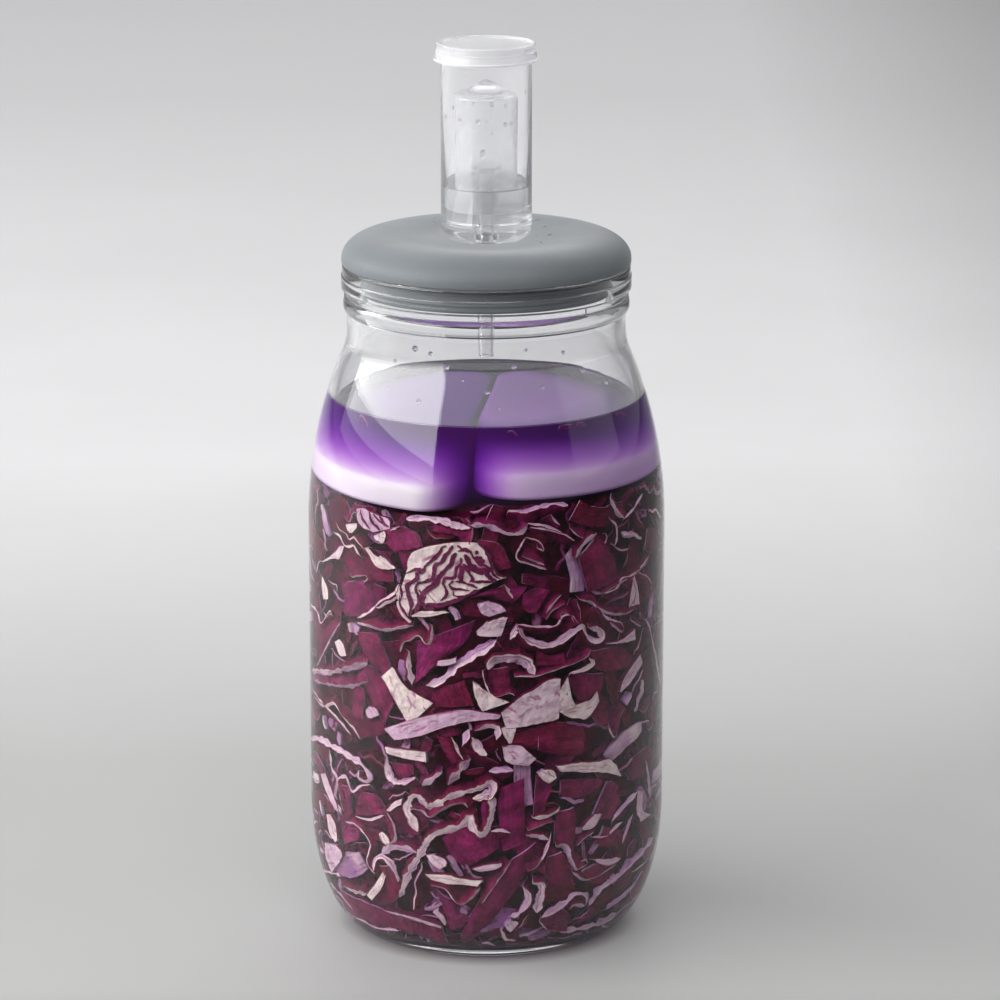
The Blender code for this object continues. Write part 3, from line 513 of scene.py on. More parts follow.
# Purple lines on them: width in millimetres, tone, points
VEINS = (
    (1.1, 0.5, ((442.8, 546.6), (440.0, 552.1), (433.3, 559.3), (426.5, 564.9), (424.5, 569.3),
     (418.1, 572.9), (417.7, 578.4), (409.3, 584.0), (408.4, 588.8), (410.1, 596.8), (412.1, 602.4),
     (411.3, 609.5), (410.1, 615.9))),
    (0.95, 0.55, ((452.0, 545.0), (450.0, 550.5), (445.6, 555.3), (442.8, 560.9), (436.1, 564.5),
     (434.9, 570.5), (433.3, 577.6), (426.9, 580.8), (419.7, 582.4), (416.7, 587.2), (418.5, 594.4),
     (419.7, 600.8), (416.9, 607.9), (415.3, 612.7))),
    (1.5, 0.45, ((456.4, 552.9), (454.0, 556.1), (452.0, 562.5), (446.0, 568.9), (439.6, 576.8),
     (434.9, 584.0), (429.3, 588.0), (424.5, 592.8), (422.9, 599.2), (421.3, 604.7))),
    (1.1, 0.45, ((424.5, 604.0), (430.9, 603.5), (439.6, 604.7), (450.8, 601.7), (464.4, 596.4),
     (478.7, 589.2))),
    (0.9, 0.6, ((461.2, 556.9), (461.3, 562.5), (457.2, 567.3), (456.0, 573.7), (454.0, 577.2),
     (446.0, 577.6), (443.8, 582.8), (446.0, 588.0), (447.6, 592.0), (445.4, 596.8), (441.2, 599.8))),
    (1.9, 0.6, ((461.2, 564.9), (461.6, 570.5), (460.8, 576.0), (462.0, 580.8))),
    (1.0, 0.6, ((455.6, 580.8), (462.0, 581.2), (466.7, 582.8), (471.5, 584.4), (477.1, 588.0))),
    (1.2, 0.6, ((463.6, 563.3), (468.3, 568.9), (470.7, 574.5), (473.5, 579.2), (470.7, 580.8))),
    (0.8, 0.55, ((470.7, 580.8), (479.5, 581.2), (486.7, 581.3), (493.9, 581.0))),
    (1.5, 0.5, ((465.2, 553.7), (468.3, 560.1), (471.5, 564.9), (476.3, 569.7), (481.1, 570.9),
     (485.1, 570.5), (488.3, 574.5), (491.9, 578.4), (496.2, 580.0))),
    (1.0, 0.5, ((458.8, 550.5), (462.8, 549.3), (468.7, 549.9), (471.9, 553.7), (475.1, 558.5),
     (479.9, 563.7), (485.9, 564.9), (489.9, 569.7), (493.9, 574.5), (500.2, 577.6))),
    (2.0, 0.55, ((474.7, 552.1), (478.7, 551.7))),
    (2.3, 0.45, ((475.5, 556.1), (480.3, 559.3), (485.1, 560.9))),
    (0.8, 0.5, ((477.9, 543.0), (483.5, 547.3), (488.3, 554.5), (490.3, 561.7), (493.5, 568.1),
     (497.8, 573.7), (504.2, 577.0))),
    (1.6, 0.5, ((440.4, 548.1), (443.6, 546.2), (446.8, 545.6))),
    (1.5, 0.5, ((449.2, 550.1), (452.0, 547.3), (453.6, 545.0))),
    (0.9, 0.5, ((457.2, 544.8), (461.2, 548.5))),
    (0.9, 0.55, ((449.2, 583.2), (453.2, 588.0), (461.2, 588.8), (469.9, 590.2))),
    (0.7, 0.55, ((454.0, 590.4), (453.6, 594.4), (457.2, 595.6), (464.4, 595.0))),
    (0.7, 0.55, ((450.8, 584.8), (450.8, 582.4), (454.0, 580.8))),
    (0.8, 0.45, ((414.9, 612.7), (419.7, 607.1), (424.5, 603.2), (426.9, 608.3), (431.3, 607.1),
     (434.9, 609.9))),
    (0.8, 0.45, ((419.7, 589.6), (422.5, 592.4), (424.1, 594.4))),
    (0.8, 0.5, ((401.4, 602.4), (403.8, 607.9), (407.0, 613.5), (409.3, 617.5))),
    (0.7, 0.6, ((401.0, 584.0), (402.6, 591.2), (401.8, 600.8))),
    (0.7, 0.4, ((407.0, 572.9), (414.1, 569.7), (422.1, 567.3))),
    (0.8, 0.95, ((362.4, 509.2), (363.2, 515.3), (366.3, 522.2), (371.6, 528.3))),
    (0.8, 0.95, ((370.8, 511.5), (372.4, 519.1), (376.2, 524.5), (381.6, 529.1))),
    (0.8, 0.95, ((380.8, 515.3), (384.6, 522.2), (390.0, 526.4))),
    (0.7, 0.9, ((374.7, 513.0), (378.5, 518.4), (386.2, 525.3))),
    (0.9, 0.6, ((381.6, 553.6), (387.7, 557.4), (394.6, 565.1))),
)

# Softboxes: name, degrees round from the camera's side towards +X, distance, width, lowest and
# highest edge, radiance
SOFTBOXES = (
    ("window_left", -77.0, 2.6, 4.7, 0.74, 2.25, 6.1),
    ("window_left_middle", -77.0, 2.6, 4.7, 0.46, 0.74, 2.8),
    ("window_left_foot", -77.0, 2.6, 4.7, 0.26, 0.46, 0.9),
    ("window_right", 80.0, 2.6, 1.9, 0.30, 2.30, 0.5),
)
CEILING = ((0.1, -2.1, 3.1), 2.6, 2.4, 2.8)
BACK_LIGHT = ((0.3, 2.6, 1.9), 3.6, 1.6, 1.4)
WORLD_FRONT = 0.15
WORLD_BEHIND = 0.40
FLOOR_RADIUS = 8.0
RANDOM_HEARTS = 3

# Drops: a pixel of the photograph, width and height in millimetres
NECK_DROPS = (
    ((417, 348), 2.2, 2.5), ((432, 353), 1.8, 1.8), ((447, 367), 2.5, 3.0), ((513, 367), 2.1, 2.4),
    ((487, 393), 2.0, 2.2), ((420, 402), 1.8, 2.1), ((398, 361), 1.4, 1.5), ((561, 352), 1.5, 1.7),
    ((580, 371), 2.0, 2.2), ((463, 381), 1.2, 1.4), ((541, 388), 1.5, 1.7), ((602, 383), 1.4, 1.8),
    ((375, 377), 1.5, 1.7), ((525, 349), 1.2, 1.2), ((498, 409), 1.2, 1.4), ((391, 389), 1.0, 1.2),
)
CUP_DROPS = (
    ((454, 108), 1.2, 1.5), ((465, 103), 1.1, 1.3), ((474, 104), 1.5, 1.8), ((492, 105), 1.5, 2.1),
    ((505, 106), 1.2, 1.7), ((447, 117), 1.3, 1.6), ((460, 121), 1.7, 1.9), ((478, 122), 1.8, 2.0),
    ((487, 122), 1.0, 1.2), ((505, 125), 1.5, 2.0), ((511, 124), 1.3, 1.7), ((492, 134), 1.0, 1.4),
    ((483, 154), 2.2, 3.6), ((529, 94), 1.4, 2.0), ((528, 131), 1.1, 1.5), ((473, 175), 1.4, 2.0),
    ((479, 188), 1.6, 1.4), ((449, 186), 1.2, 1.6), ((518, 178), 1.0, 1.4), ((456, 94), 0.9, 1.0),
)
LID_DROPS = (
    ((434, 224), 1.6, 2.6), ((431, 229), 1.0, 1.6), ((538, 221), 1.8, 2.4), ((545, 228), 1.4, 2.0),
    ((550, 236), 1.7, 2.2), ((536, 236), 1.1, 1.8), ((541, 243), 0.9, 1.3), ((438, 236), 0.9, 1.4),
)
# Floating bits of leaf: degrees round from the front, length in mm, rise in mm
FLOATING_BITS = (
    (31.0, 6.0, 0.3), (38.0, 4.0, -0.3), (10.0, 3.5, 0.4), (-52.0, 5.0, 0.3), (60.0, 7.0, 0.2),
    (120.0, 9.0, 0.3), (150.0, 6.0, -0.3), (171.0, 8.0, 0.3), (196.0, 5.0, -0.2),
    (216.0, 10.0, 0.3), (241.0, 6.0, 0.2), (262.0, 7.0, -0.3),
)


def clamp(value, low, high):
    return max(low, min(high, value))


def arc(centre_r, centre_z, half_width, half_height, start, end, steps):
    """Points (radius, height) on an elliptical arc, with its angles in degrees."""
    angles = np.radians(np.linspace(start, end, steps + 1))
    radii = centre_r + half_width * np.cos(angles)
    heights = centre_z + half_height * np.sin(angles)
    return list(zip(radii.tolist(), heights.tolist()))


def shoulder_radius(height, arc_radius):
    return BODY_RADIUS - SHOULDER_ARC + math.sqrt(arc_radius ** 2 - (height - SHOULDER_START) ** 2)


def shoulder_points(arc_radius, start, end, steps):
    heights = np.linspace(start, end, steps + 1).tolist()
    return [(shoulder_radius(height, arc_radius), height) for height in heights]


def floor_and_heel(shares, steps, into_wall=0.0):
    """The jar's inside from its floor outward and up to the top of its heel."""
    points = [(HEEL_INNER_CENTRE * share, FLOOR_TOP - into_wall - FLOOR_DISH * share ** 2)
              for share in shares]
    reach = BODY_RADIUS - WALL - HEEL_INNER_CENTRE + into_wall
    rise = HEEL_HEIGHT - FLOOR_EDGE + into_wall
    return points + arc(HEEL_INNER_CENTRE, HEEL_HEIGHT, reach, rise, -90, 0, steps)


def outer_radius(height):
    if height >= SHOULDER_START:
        return shoulder_radius(min(height, SHOULDER_END), SHOULDER_ARC)
    if height >= HEEL_HEIGHT:
        return BODY_RADIUS
    drop = min(1.0, (HEEL_HEIGHT - height) / HEEL_HEIGHT)
    return HEEL_CENTRE_RADIUS + (BODY_RADIUS - HEEL_CENTRE_RADIUS) * math.sqrt(1.0 - drop * drop)


def inner_radius(height):
    if height >= SHOULDER_END:
        return MOUTH_RADIUS
    if height >= SHOULDER_START:
        return shoulder_radius(height, SHOULDER_ARC - WALL)
    if height >= HEEL_HEIGHT:
        return BODY_RADIUS - WALL
    drop = min(1.0, (HEEL_HEIGHT - height) / (HEEL_HEIGHT - FLOOR_EDGE))
    reach = BODY_RADIUS - WALL - HEEL_INNER_CENTRE
    return HEEL_INNER_CENTRE + reach * math.sqrt(1.0 - drop * drop)


def add_object(name, mesh, *materials, sharp=38.0):
    """A smooth-shaded piece that rides on the one body."""
    mesh.shade_smooth()
    mesh.set_sharp_from_angle(angle=math.radians(sharp))
    for material in materials:
        mesh.materials.append(material)
    obj = bpy.data.objects.new(name, mesh)
    bpy.context.scene.collection.objects.link(obj)
    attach(obj, "root")
    return obj


def mesh_of(name, bm):
    mesh = bpy.data.meshes.new(name)
    bm.to_mesh(mesh)
    bm.free()
    return mesh


def lofted_mesh(name, bm, rings):
    """A closed mesh through rings of equally many vertices, with a flat face on either end."""
    count = len(rings[0])
    for lower, upper in zip(rings, rings[1:]):
        for index in range(count):
            following = (index + 1) % count
            bm.faces.new((lower[index], lower[following], upper[following], upper[index]))
    bm.faces.new(rings[0])
    bm.faces.new(rings[-1])
    bmesh.ops.recalc_face_normals(bm, faces=bm.faces)
    return mesh_of(name, bm)


def turned_mesh(name, profile, sides, closed=False, angles=None, shift=None):
    """The profile of (radius, height) points turned about the Z axis.

    A closed profile makes a ring, and an open one starts and ends on the axis. Angles may be
    given in place of even sides, and shift(radius, height, angle) may move points outward.
    """
    angles = np.linspace(0.0, math.tau, sides, endpoint=False) if angles is None else angles
    bm = bmesh.new()
    rings = []
    for radius, height in profile:
        if radius < 1e-7:
            rings.append([bm.verts.new((0.0, 0.0, height))])
            continue
        ring = []
        for angle in angles:
            reach = radius + (shift(radius, height, angle) if shift else 0.0)
            ring.append(bm.verts.new((reach * math.sin(angle), -reach * math.cos(angle), height)))
        rings.append(ring)
    count = len(angles)
    pairs = list(zip(rings, rings[1:]))
    if closed:
        pairs.append((rings[-1], rings[0]))
    for lower, upper in pairs:
        for index in range(count):
            following = (index + 1) % count
            corners = [lower[index % len(lower)], lower[following % len(lower)],
                       upper[following % len(upper)], upper[index % len(upper)]]
            corners = list(dict.fromkeys(corners))
            if len(corners) > 2:
                bm.faces.new(corners)
    bmesh.ops.recalc_face_normals(bm, faces=bm.faces)
    return mesh_of(name, bm)


class Shading:
    """A small helper that builds one node material."""

    def __init__(self, name):
        self.material = bpy.data.materials.new(name)
        self.material.use_nodes = True
        self.tree = self.material.node_tree
        self.surface = self.tree.nodes["Principled BSDF"]
        self.output = self.tree.nodes["Material Output"]

    def set(self, **values):
        """Constants on the Principled shader, with _ for the spaces in a socket's name."""
        for key, value in values.items():
            self.surface.inputs[key.replace("_", " ")].default_value = value

    def node(self, kind, inputs=None, **settings):
        made = self.tree.nodes.new("ShaderNode" + kind)
        for key, value in settings.items():
            setattr(made, key, value)
        for key, value in (inputs or {}).items():
            if isinstance(value, bpy.types.NodeSocket):
                self.tree.links.new(value, made.inputs[key])
            else:
                made.inputs[key].default_value = value
        return made

    def link(self, socket, name):
        self.tree.links.new(socket, self.surface.inputs[name])

    def place(self, scale=(1.0, 1.0, 1.0)):
        coordinates = self.node("TexCoord")
        return self.node("Mapping", {"Vector": coordinates.outputs["Object"],
                                     "Scale": scale}).outputs["Vector"]

    def noise(self, scale, detail=3.0, vector=None, roughness=0.5):
        vector = vector or self.place()
        return self.node("TexNoise", {"Vector": vector, "Scale": scale, "Detail": detail,
                                      "Roughness": roughness}).outputs["Fac"]

    def stretched(self, vector, scale, detail=4.0):
        """Noise along a vector that is stretched unlike along its axes."""
        scaled = self.node("Mapping", {"Vector": vector, "Scale": scale}).outputs[0]
        return self.noise(1.0, detail, scaled)

    def span(self, value, low, high, start=0.0, end=1.0):
        """The value's range low to high mapped, clamped, to start to end."""
        return self.node("MapRange", {"Value": value, "From Min": low, "From Max": high,
                                      "To Min": start, "To Max": end}).outputs["Result"]

    def math(self, operation, first, second=0.0):
        return self.node("Math", {0: first, 1: second}, operation=operation).outputs[0]

    def mix(self, share, first, second):
        made = self.node("Mix", data_type="RGBA")
        for index, value in ((0, share), (6, first), (7, second)):
            if isinstance(value, bpy.types.NodeSocket):
                self.tree.links.new(value, made.inputs[index])
            else:
                made.inputs[index].default_value = value if index == 0 else (*value, 1.0)
        return made.outputs[2]

    def bump(self, height, strength, distance):
        made = self.node("Bump", {"Height": height, "Strength": strength, "Distance": distance})
        self.link(made.outputs["Normal"], "Normal")

    def misted(self, share):
        """The surface with a little mist on it, that scatters the given share of the light."""
        front = self.node("BsdfDiffuse", {"Color": (0.95, 0.955, 0.96, 1.0)})
        through = self.node("BsdfTranslucent", {"Color": (0.95, 0.955, 0.96, 1.0)})
        mist = self.node("MixShader", {0: 0.5, 1: front.outputs[0], 2: through.outputs[0]})
        patches = self.span(self.noise(45.0, 3.0), 0.3, 0.7, share * 0.8, share * 1.2)
        return self.node("MixShader", {0: patches, 1: self.surface.outputs[0],
                                       2: mist.outputs[0]}).outputs[0]

    def let_lamps_through(self, solid=None):
        """Shadow and diffuse rays pass straight through, so that what is inside is lit."""
        path = self.node("LightPath")
        either = self.math("MAXIMUM", path.outputs["Is Shadow Ray"],
                           path.outputs["Is Diffuse Ray"])
        clear = self.node("BsdfTransparent")
        both = self.node("MixShader", {0: either, 1: solid or self.surface.outputs[0],
                                       2: clear.outputs[0]})
        self.tree.links.new(both.outputs[0], self.output.inputs["Surface"])
        return clear


def glass_material(name, reflection=1.0, mist=0.0):
    """Clear glass with the faint waviness of a moulded jar."""
    look = Shading(name)
    look.set(Base_Color=(0.985, 0.99, 0.99, 1.0), Roughness=0.0, IOR=GLASS_IOR,
             Transmission_Weight=1.0, Specular_Tint=(reflection, reflection, reflection, 1.0))
    waves = look.noise(26.0, 1.0, look.place((1.0, 1.0, 0.45)))
    look.bump(waves, 0.10, 0.0012)
    look.let_lamps_through(look.misted(mist) if mist else None)
    return look.material


def plastic_material():
    look = Shading("airlock_plastic")
    look.set(Base_Color=(0.99, 0.99, 0.995, 1.0), IOR=1.46, Transmission_Weight=1.0)
    haze = look.noise(90.0, 2.0)
    look.link(look.span(haze, 0.35, 0.75, 0.0, 0.06), "Roughness")
    look.bump(look.noise(60.0, 1.0), 0.06, 0.0008)
    look.let_lamps_through(look.misted(PLASTIC_MIST))
    return look.material


def milky_material(name, colour, clearness):
    """Translucent white plastic: part clear, part scattering."""
    look = Shading(name)
    look.set(IOR=1.46, Transmission_Weight=clearness, Roughness=0.22)
    cloud = look.noise(70.0, 3.0)
    shade = tuple(channel * 0.94 for channel in colour)
    look.link(look.mix(look.span(cloud, 0.3, 0.7), colour, shade), "Base Color")
    look.bump(look.noise(220.0, 2.0), 0.05, 0.0004)
    path = look.node("LightPath")
    pale = look.node("BsdfTransparent", {"Color": (0.86, 0.86, 0.88, 1.0)})
    both = look.node("MixShader", {0: path.outputs["Is Shadow Ray"],
                                   1: look.surface.outputs[0], 2: pale.outputs[0]})
    look.tree.links.new(both.outputs[0], look.output.inputs["Surface"])
    return look.material


def silicone_material():
    """Matte blue-grey silicone with a fine grain and a few faint marks."""
    look = Shading("lid_silicone")
    look.set(Roughness=0.55, Sheen_Weight=0.25, Sheen_Roughness=0.4, IOR=1.41)
    cloud = look.noise(38.0, 4.0)
    base = look.mix(look.span(cloud, 0.3, 0.7), (0.168, 0.184, 0.197), (0.190, 0.207, 0.220))
    dust = look.noise(900.0, 2.0)
    look.link(look.mix(look.span(dust, 0.66, 0.8, 0.0, 0.25), base, (0.42, 0.45, 0.47)),
              "Base Color")
    look.link(look.span(look.noise(55.0, 3.0), 0.3, 0.7, 0.48, 0.62), "Roughness")
    look.bump(look.noise(1500.0, 2.0), 0.12, 0.0002)
    return look.material


def ceramic_material():
    """White glazed stoneware, a little uneven and faintly stained."""
    look = Shading("weight_ceramic")
    look.set(IOR=1.12)
    cloud = look.noise(45.0, 4.0)
    base = look.mix(look.span(cloud, 0.35, 0.7), (0.83, 0.82, 0.79), (0.76, 0.75, 0.73))
    specks = look.noise(700.0, 1.0)
    look.link(look.mix(look.span(specks, 0.72, 0.8, 0.0, 0.5), base, (0.52, 0.44, 0.50)),
              "Base Color")
    look.link(look.span(cloud, 0.3, 0.7, 0.3, 0.45), "Roughness")
    look.bump(look.noise(120.0, 3.0), 0.15, 0.0006)
    return look.material


def brine_material(name, reflection=1.0, cloudiness=0.0):
    """Deep violet brine, which takes most of the green light and little of the blue.

    Above the cabbage it is a little cloudy, and scatters a share of the light itself.
    """
    look = Shading(name)
    look.set(Base_Color=(1.0, 1.0, 1.0, 1.0), Roughness=0.0, IOR=WATER_IOR,
             Transmission_Weight=1.0, Specular_Tint=(reflection, reflection, reflection, 1.0))
    look.bump(look.noise(60.0, 2.0), 0.04, 0.0006)
    height = look.node("SeparateXYZ", {0: look.place()}).outputs["Z"]
    cloud = look.node("BsdfDiffuse", {"Color": (0.50, 0.03, 0.95, 1.0)})
    cloudy = look.node("MixShader", {0: look.span(height, 0.186, 0.198, 0.0, cloudiness),
                                     1: look.surface.outputs[0], 2: cloud.outputs[0]})
    look.let_lamps_through(cloudy.outputs[0])
    volume = look.node("VolumeAbsorption", {"Color": (*BRINE_COLOUR, 1.0),
                                            "Density": BRINE_DENSITY})
    look.tree.links.new(volume.outputs[0], look.output.inputs["Volume"])
    return look.material


def water_material(name="clear_water", colour=(0.99, 0.995, 1.0, 1.0)):
    look = Shading(name)
    look.set(Base_Color=colour, Roughness=0.0, IOR=WATER_IOR,
             Transmission_Weight=1.0)
    look.bump(look.noise(120.0, 1.0), 0.08, 0.0006)
    look.let_lamps_through()
    return look.material


def cabbage_material():
    """Red cabbage: purple skins, cream to lilac flesh on the cuts, dark lines between them.

    The corner colour "tissue" holds flesh, tone, paleness and depth, and the vector
    "grain" holds millimetres along and across the shred and the share of its thickness.
    """
    look = Shading("red_cabbage")
    look.set(Roughness=0.5, IOR=1.15)
    tissue = look.node("Attribute", attribute_name="tissue")
    parts = look.node("SeparateColor", {0: tissue.outputs["Color"]})
    flesh, tone, pale = parts.outputs[0], parts.outputs[1], parts.outputs[2]
    deep = tissue.outputs["Alpha"]
    grain = look.node("Attribute", attribute_name="grain").outputs["Vector"]
    blotch = look.stretched(grain, (0.22, 0.3, 1.0))
    fibre = look.stretched(grain, (0.10, 1.1, 1.0))
    # Skins, with pale fibres, dark veins and clouds of part painted shade, darker still where pale is
    # negative
    maroon = look.mix(look.span(blotch, 0.3, 0.7), (0.13, 0.007, 0.018), (0.26, 0.015, 0.042))
    magenta = look.mix(look.span(blotch, 0.3, 0.7), (0.19, 0.009, 0.060), (0.39, 0.023, 0.155))
    skin = look.mix(tone, maroon, magenta)
    skin = look.mix(look.span(fibre, 0.55, 0.78, 0.0, 0.35), skin, (0.38, 0.09, 0.20))
    dark_vein = look.span(look.stretched(grain, (0.10, 1.1, 1.0), 2.0), 0.2, 0.4, 0.55, 0.0)
    skin = look.mix(dark_vein, skin, (0.045, 0.004, 0.016))
    # Painted shade, in part: the clouds darken skins and flesh in patches of the object's space
    cloud = look.noise(210.0, 4.0)
    skin = look.mix(look.span(cloud, 0.38, 0.72, 0.0, 0.75), skin, (0.065, 0.005, 0.020))
    skin = look.mix(look.span(pale, -1.0, 0.0, 0.85, 0.0), skin, (0.075, 0.006, 0.045))
    # Flesh, with pink fibres, layer lines, a line along its middle and lilac clouds of part painted
    # shade
    cream = look.mix(look.span(blotch, 0.35, 0.7), (0.93, 0.93, 0.70), (0.83, 0.79, 0.58))
    lilac = look.mix(look.span(blotch, 0.35, 0.7), (0.65, 0.46, 0.56), (0.52, 0.33, 0.43))
    inner = look.mix(tone, cream, lilac)
    inner = look.mix(look.span(fibre, 0.5, 0.75, 0.0, 0.35), inner, (0.62, 0.42, 0.48))
    layers = look.stretched(grain, (0.05, 1.5, 1.0), 2.0)
    inner = look.mix(look.span(layers, 0.60, 0.66, 0.0, 0.75), inner, (0.36, 0.07, 0.19))
    through = look.node("SeparateXYZ", {0: grain}).outputs["Z"]
    drift = look.span(look.stretched(grain, (0.12, 0.0, 0.0), 1.0), 0.2, 0.8, -0.5, 0.5)
    from_middle = look.math("ABSOLUTE", look.math("ADD", through, drift))
    middle_line = look.math("MULTIPLY", look.span(from_middle, 0.02, 0.13, 0.8, 0.0),
                            look.span(blotch, 0.46, 0.56))
    inner = look.mix(middle_line, inner, (0.36, 0.06, 0.18))
    inner = look.mix(look.span(cloud, 0.45, 0.75, 0.0, 0.55), inner, (0.55, 0.34, 0.42))
    # Painted shade of depth: both are browner deep in the brine, the flesh darker too
    inner = look.mix(look.span(deep, 0.1, 0.8, 0.0, 0.85), inner, (0.46, 0.31, 0.24))
    skin = look.mix(look.span(deep, 0.15, 1.0, 0.0, 0.6), skin, (0.20, 0.014, 0.012))
    # Flesh shows on the cuts, up to a ragged edge, and on skins that are pale
    ragged = look.math("ADD", flesh, look.span(fibre, 0.3, 0.7, -0.12, 0.12))
    cut = look.span(ragged, 0.42, 0.62)
    stained = look.span(look.math("ADD", pale, look.span(blotch, 0.3, 0.7, -0.35, 0.35)),
                        0.55, 0.75)
    look.link(look.mix(look.math("MAXIMUM", cut, stained), skin, inner), "Base Color")
    look.link(look.span(blotch, 0.3, 0.7, 0.42, 0.58), "Roughness")
    relief = look.math("ADD", look.math("MULTIPLY", fibre, 0.16), look.noise(150.0, 3.0))
    look.bump(relief, 0.9, 0.0032)
    return look.material


def core_material():
    look = Shading("cabbage_core")
    look.set(Roughness=0.6, IOR=1.15)
    cloud = look.noise(120.0, 4.0)
    look.link(look.mix(look.span(cloud, 0.35, 0.65), (0.11, 0.007, 0.014),
                       (0.34, 0.028, 0.052)), "Base Color")
    look.bump(cloud, 0.5, 0.002)
    return look.material


def floor_material():
    look = Shading("pale_floor")
    look.set(Roughness=0.55)
    # Painted shade: pale in the middle, dark towards the camera, where the glass mirrors it
    cloud = look.noise(3.0, 5.0)
    near = look.mix(look.span(cloud, 0.35, 0.7), (0.48, 0.48, 0.47), (0.45, 0.45, 0.44))
    middle = look.mix(look.span(cloud, 0.35, 0.7), (0.77, 0.765, 0.77), (0.72, 0.715, 0.72))
    parts = look.node("SeparateXYZ", {0: look.place()})
    across, back = parts.outputs["X"], parts.outputs["Y"]
    floor = look.mix(look.span(back, 0.20, 0.75), near, middle)
    # Painted shade: darker far behind the jar and off to the right
    floor = look.mix(look.span(back, 0.9, 2.0), floor, (0.60, 0.595, 0.60))
    floor = look.mix(look.span(across, 0.22, 0.65, 0.0, 0.8), floor, (0.14, 0.14, 0.14))
    floor = look.mix(look.span(back, -0.30, -0.085, 1.0, 0.0), floor, (0.09, 0.09, 0.09))
    # A painted shadow: a dark disc under the jar's foot
    under = look.node("VectorMath", {0: look.place()}, operation="LENGTH").outputs["Value"]
    look.link(look.mix(look.span(under, 0.046, 0.060, 0.9, 0.0), floor, (0.06, 0.03, 0.045)),
              "Base Color")
    return look.material


def neck_curve():
    """(outer, inner, height) from the shoulder into the neck, smoothly curved on both sides."""
    heights = np.arange(NECK_CURVE_START, NECK_CURVE_END, NECK_STEP)
    shoulder = BODY_RADIUS - SHOULDER_ARC + np.sqrt(
        SHOULDER_ARC ** 2 - (np.minimum(heights, SHOULDER_END) - SHOULDER_START) ** 2)
    turn = np.clip((heights - SHOULDER_END) / WALL, 0.0, 1.0)
    outer = shoulder + (NECK_RADIUS - shoulder) * turn
    reach = int(NECK_FILLET_REACH * NECK_FILLET / NECK_STEP)
    kernel = np.exp(-0.5 * (np.arange(-reach, reach + 1) * NECK_STEP / NECK_FILLET) ** 2)
    smooth = np.convolve(outer, kernel / kernel.sum(), mode="valid")
    heights = heights[reach:-reach]
    slope = np.gradient(smooth, heights)
    wall = np.interp(heights, NECK_WALL_CHANGE, (WALL, NECK_RADIUS - MOUTH_RADIUS))
    inner = smooth - wall * np.sqrt(1.0 + slope ** 2)
    kept = (heights > NECK_KEPT_FROM) & (heights < NECK_KEPT_TO)
    return smooth[kept].tolist(), inner[kept].tolist(), heights[kept].tolist()


def jar_profile():
    """The jar from the middle of its floor up inside, over the rim and down outside."""
    step_radius = FLANGE_RADIUS - FLANGE_STEP_DEPTH
    profile = [(0.0, FLOOR_TOP)] + floor_and_heel(FLOOR_SHARES, HEEL_STEPS)
    outer, inner, heights = neck_curve()
    profile += shoulder_points(SHOULDER_ARC - WALL, SHOULDER_START, heights[0], 24)[:-1]
    profile += list(zip(inner, heights))
    profile += arc(MOUTH_RADIUS + RIM_ROUND, RIM_TOP - RIM_ROUND, RIM_ROUND, RIM_ROUND, 180, 90, 5)
    profile += arc(step_radius - RIM_ROUND, RIM_TOP - RIM_ROUND, RIM_ROUND, RIM_ROUND, 90, 0, 5)
    profile += [(step_radius, FLANGE_STEP + FINE_ROUND), (FLANGE_RADIUS - 0.0001, FLANGE_STEP)]
    profile += [(FLANGE_RADIUS, FLANGE_STEP - FLANGE_STEP_DEPTH)]
    profile += arc(FLANGE_RADIUS - RIM_ROUND, FLANGE_BOTTOM + RIM_ROUND, RIM_ROUND, RIM_ROUND,
                   0, -80, 5)
    groove = GROOVE_RADIUS + EDGE_ROUND
    profile += arc(groove, FLANGE_BOTTOM - EDGE_ROUND, EDGE_ROUND, EDGE_ROUND, 90, 180, 4)
    profile += arc(groove, BEAD_TOP + EDGE_ROUND, EDGE_ROUND, EDGE_ROUND, 180, 270, 4)
    bead_middle = (BEAD_TOP + BEAD_BOTTOM) / 2
    profile += arc(NECK_RADIUS, bead_middle, BEAD_RADIUS - NECK_RADIUS,
                   (BEAD_TOP - BEAD_BOTTOM) / 2, 70, -90, 12)
    profile += [(NECK_RADIUS, BEAD_BOTTOM - 0.001)] + list(zip(outer, heights))[::-1]
    profile += shoulder_points(SHOULDER_ARC, SHOULDER_START, heights[0], 24)[-2::-1]
    profile += arc(HEEL_CENTRE_RADIUS, HEEL_HEIGHT, BODY_RADIUS - HEEL_CENTRE_RADIUS,
                   HEEL_HEIGHT, 0, -90, 30)
    profile += arc(FOOT_INNER_RADIUS, FOOT_ROUND, FOOT_ROUND * 1.5, FOOT_ROUND, -90, -180, 5)
    rise = np.linspace(0.9, 0.1, 8).tolist()
    inner = FOOT_INNER_RADIUS - FOOT_ROUND * 1.5
    profile += [(inner * share, PUNT_HEIGHT - (PUNT_HEIGHT - FOOT_ROUND) * share ** 2)
                for share in rise]
    profile.append((0.0, PUNT_HEIGHT))
    return profile


def seam_angles():
    """Even sides with finer ones at the mould seams of the finish."""
    angles = set(np.linspace(0.0, math.tau, JAR_SIDES, endpoint=False).round(6).tolist())
    for seam in SEAM_ANGLES:
        for share in (-1.0, -0.5, 0.0, 0.5, 1.0):
            turn = math.radians(seam) + share * SEAM_HALF_WIDTH / FLANGE_RADIUS
            angles.add(round(turn % math.tau, 6))
    return sorted(angles)


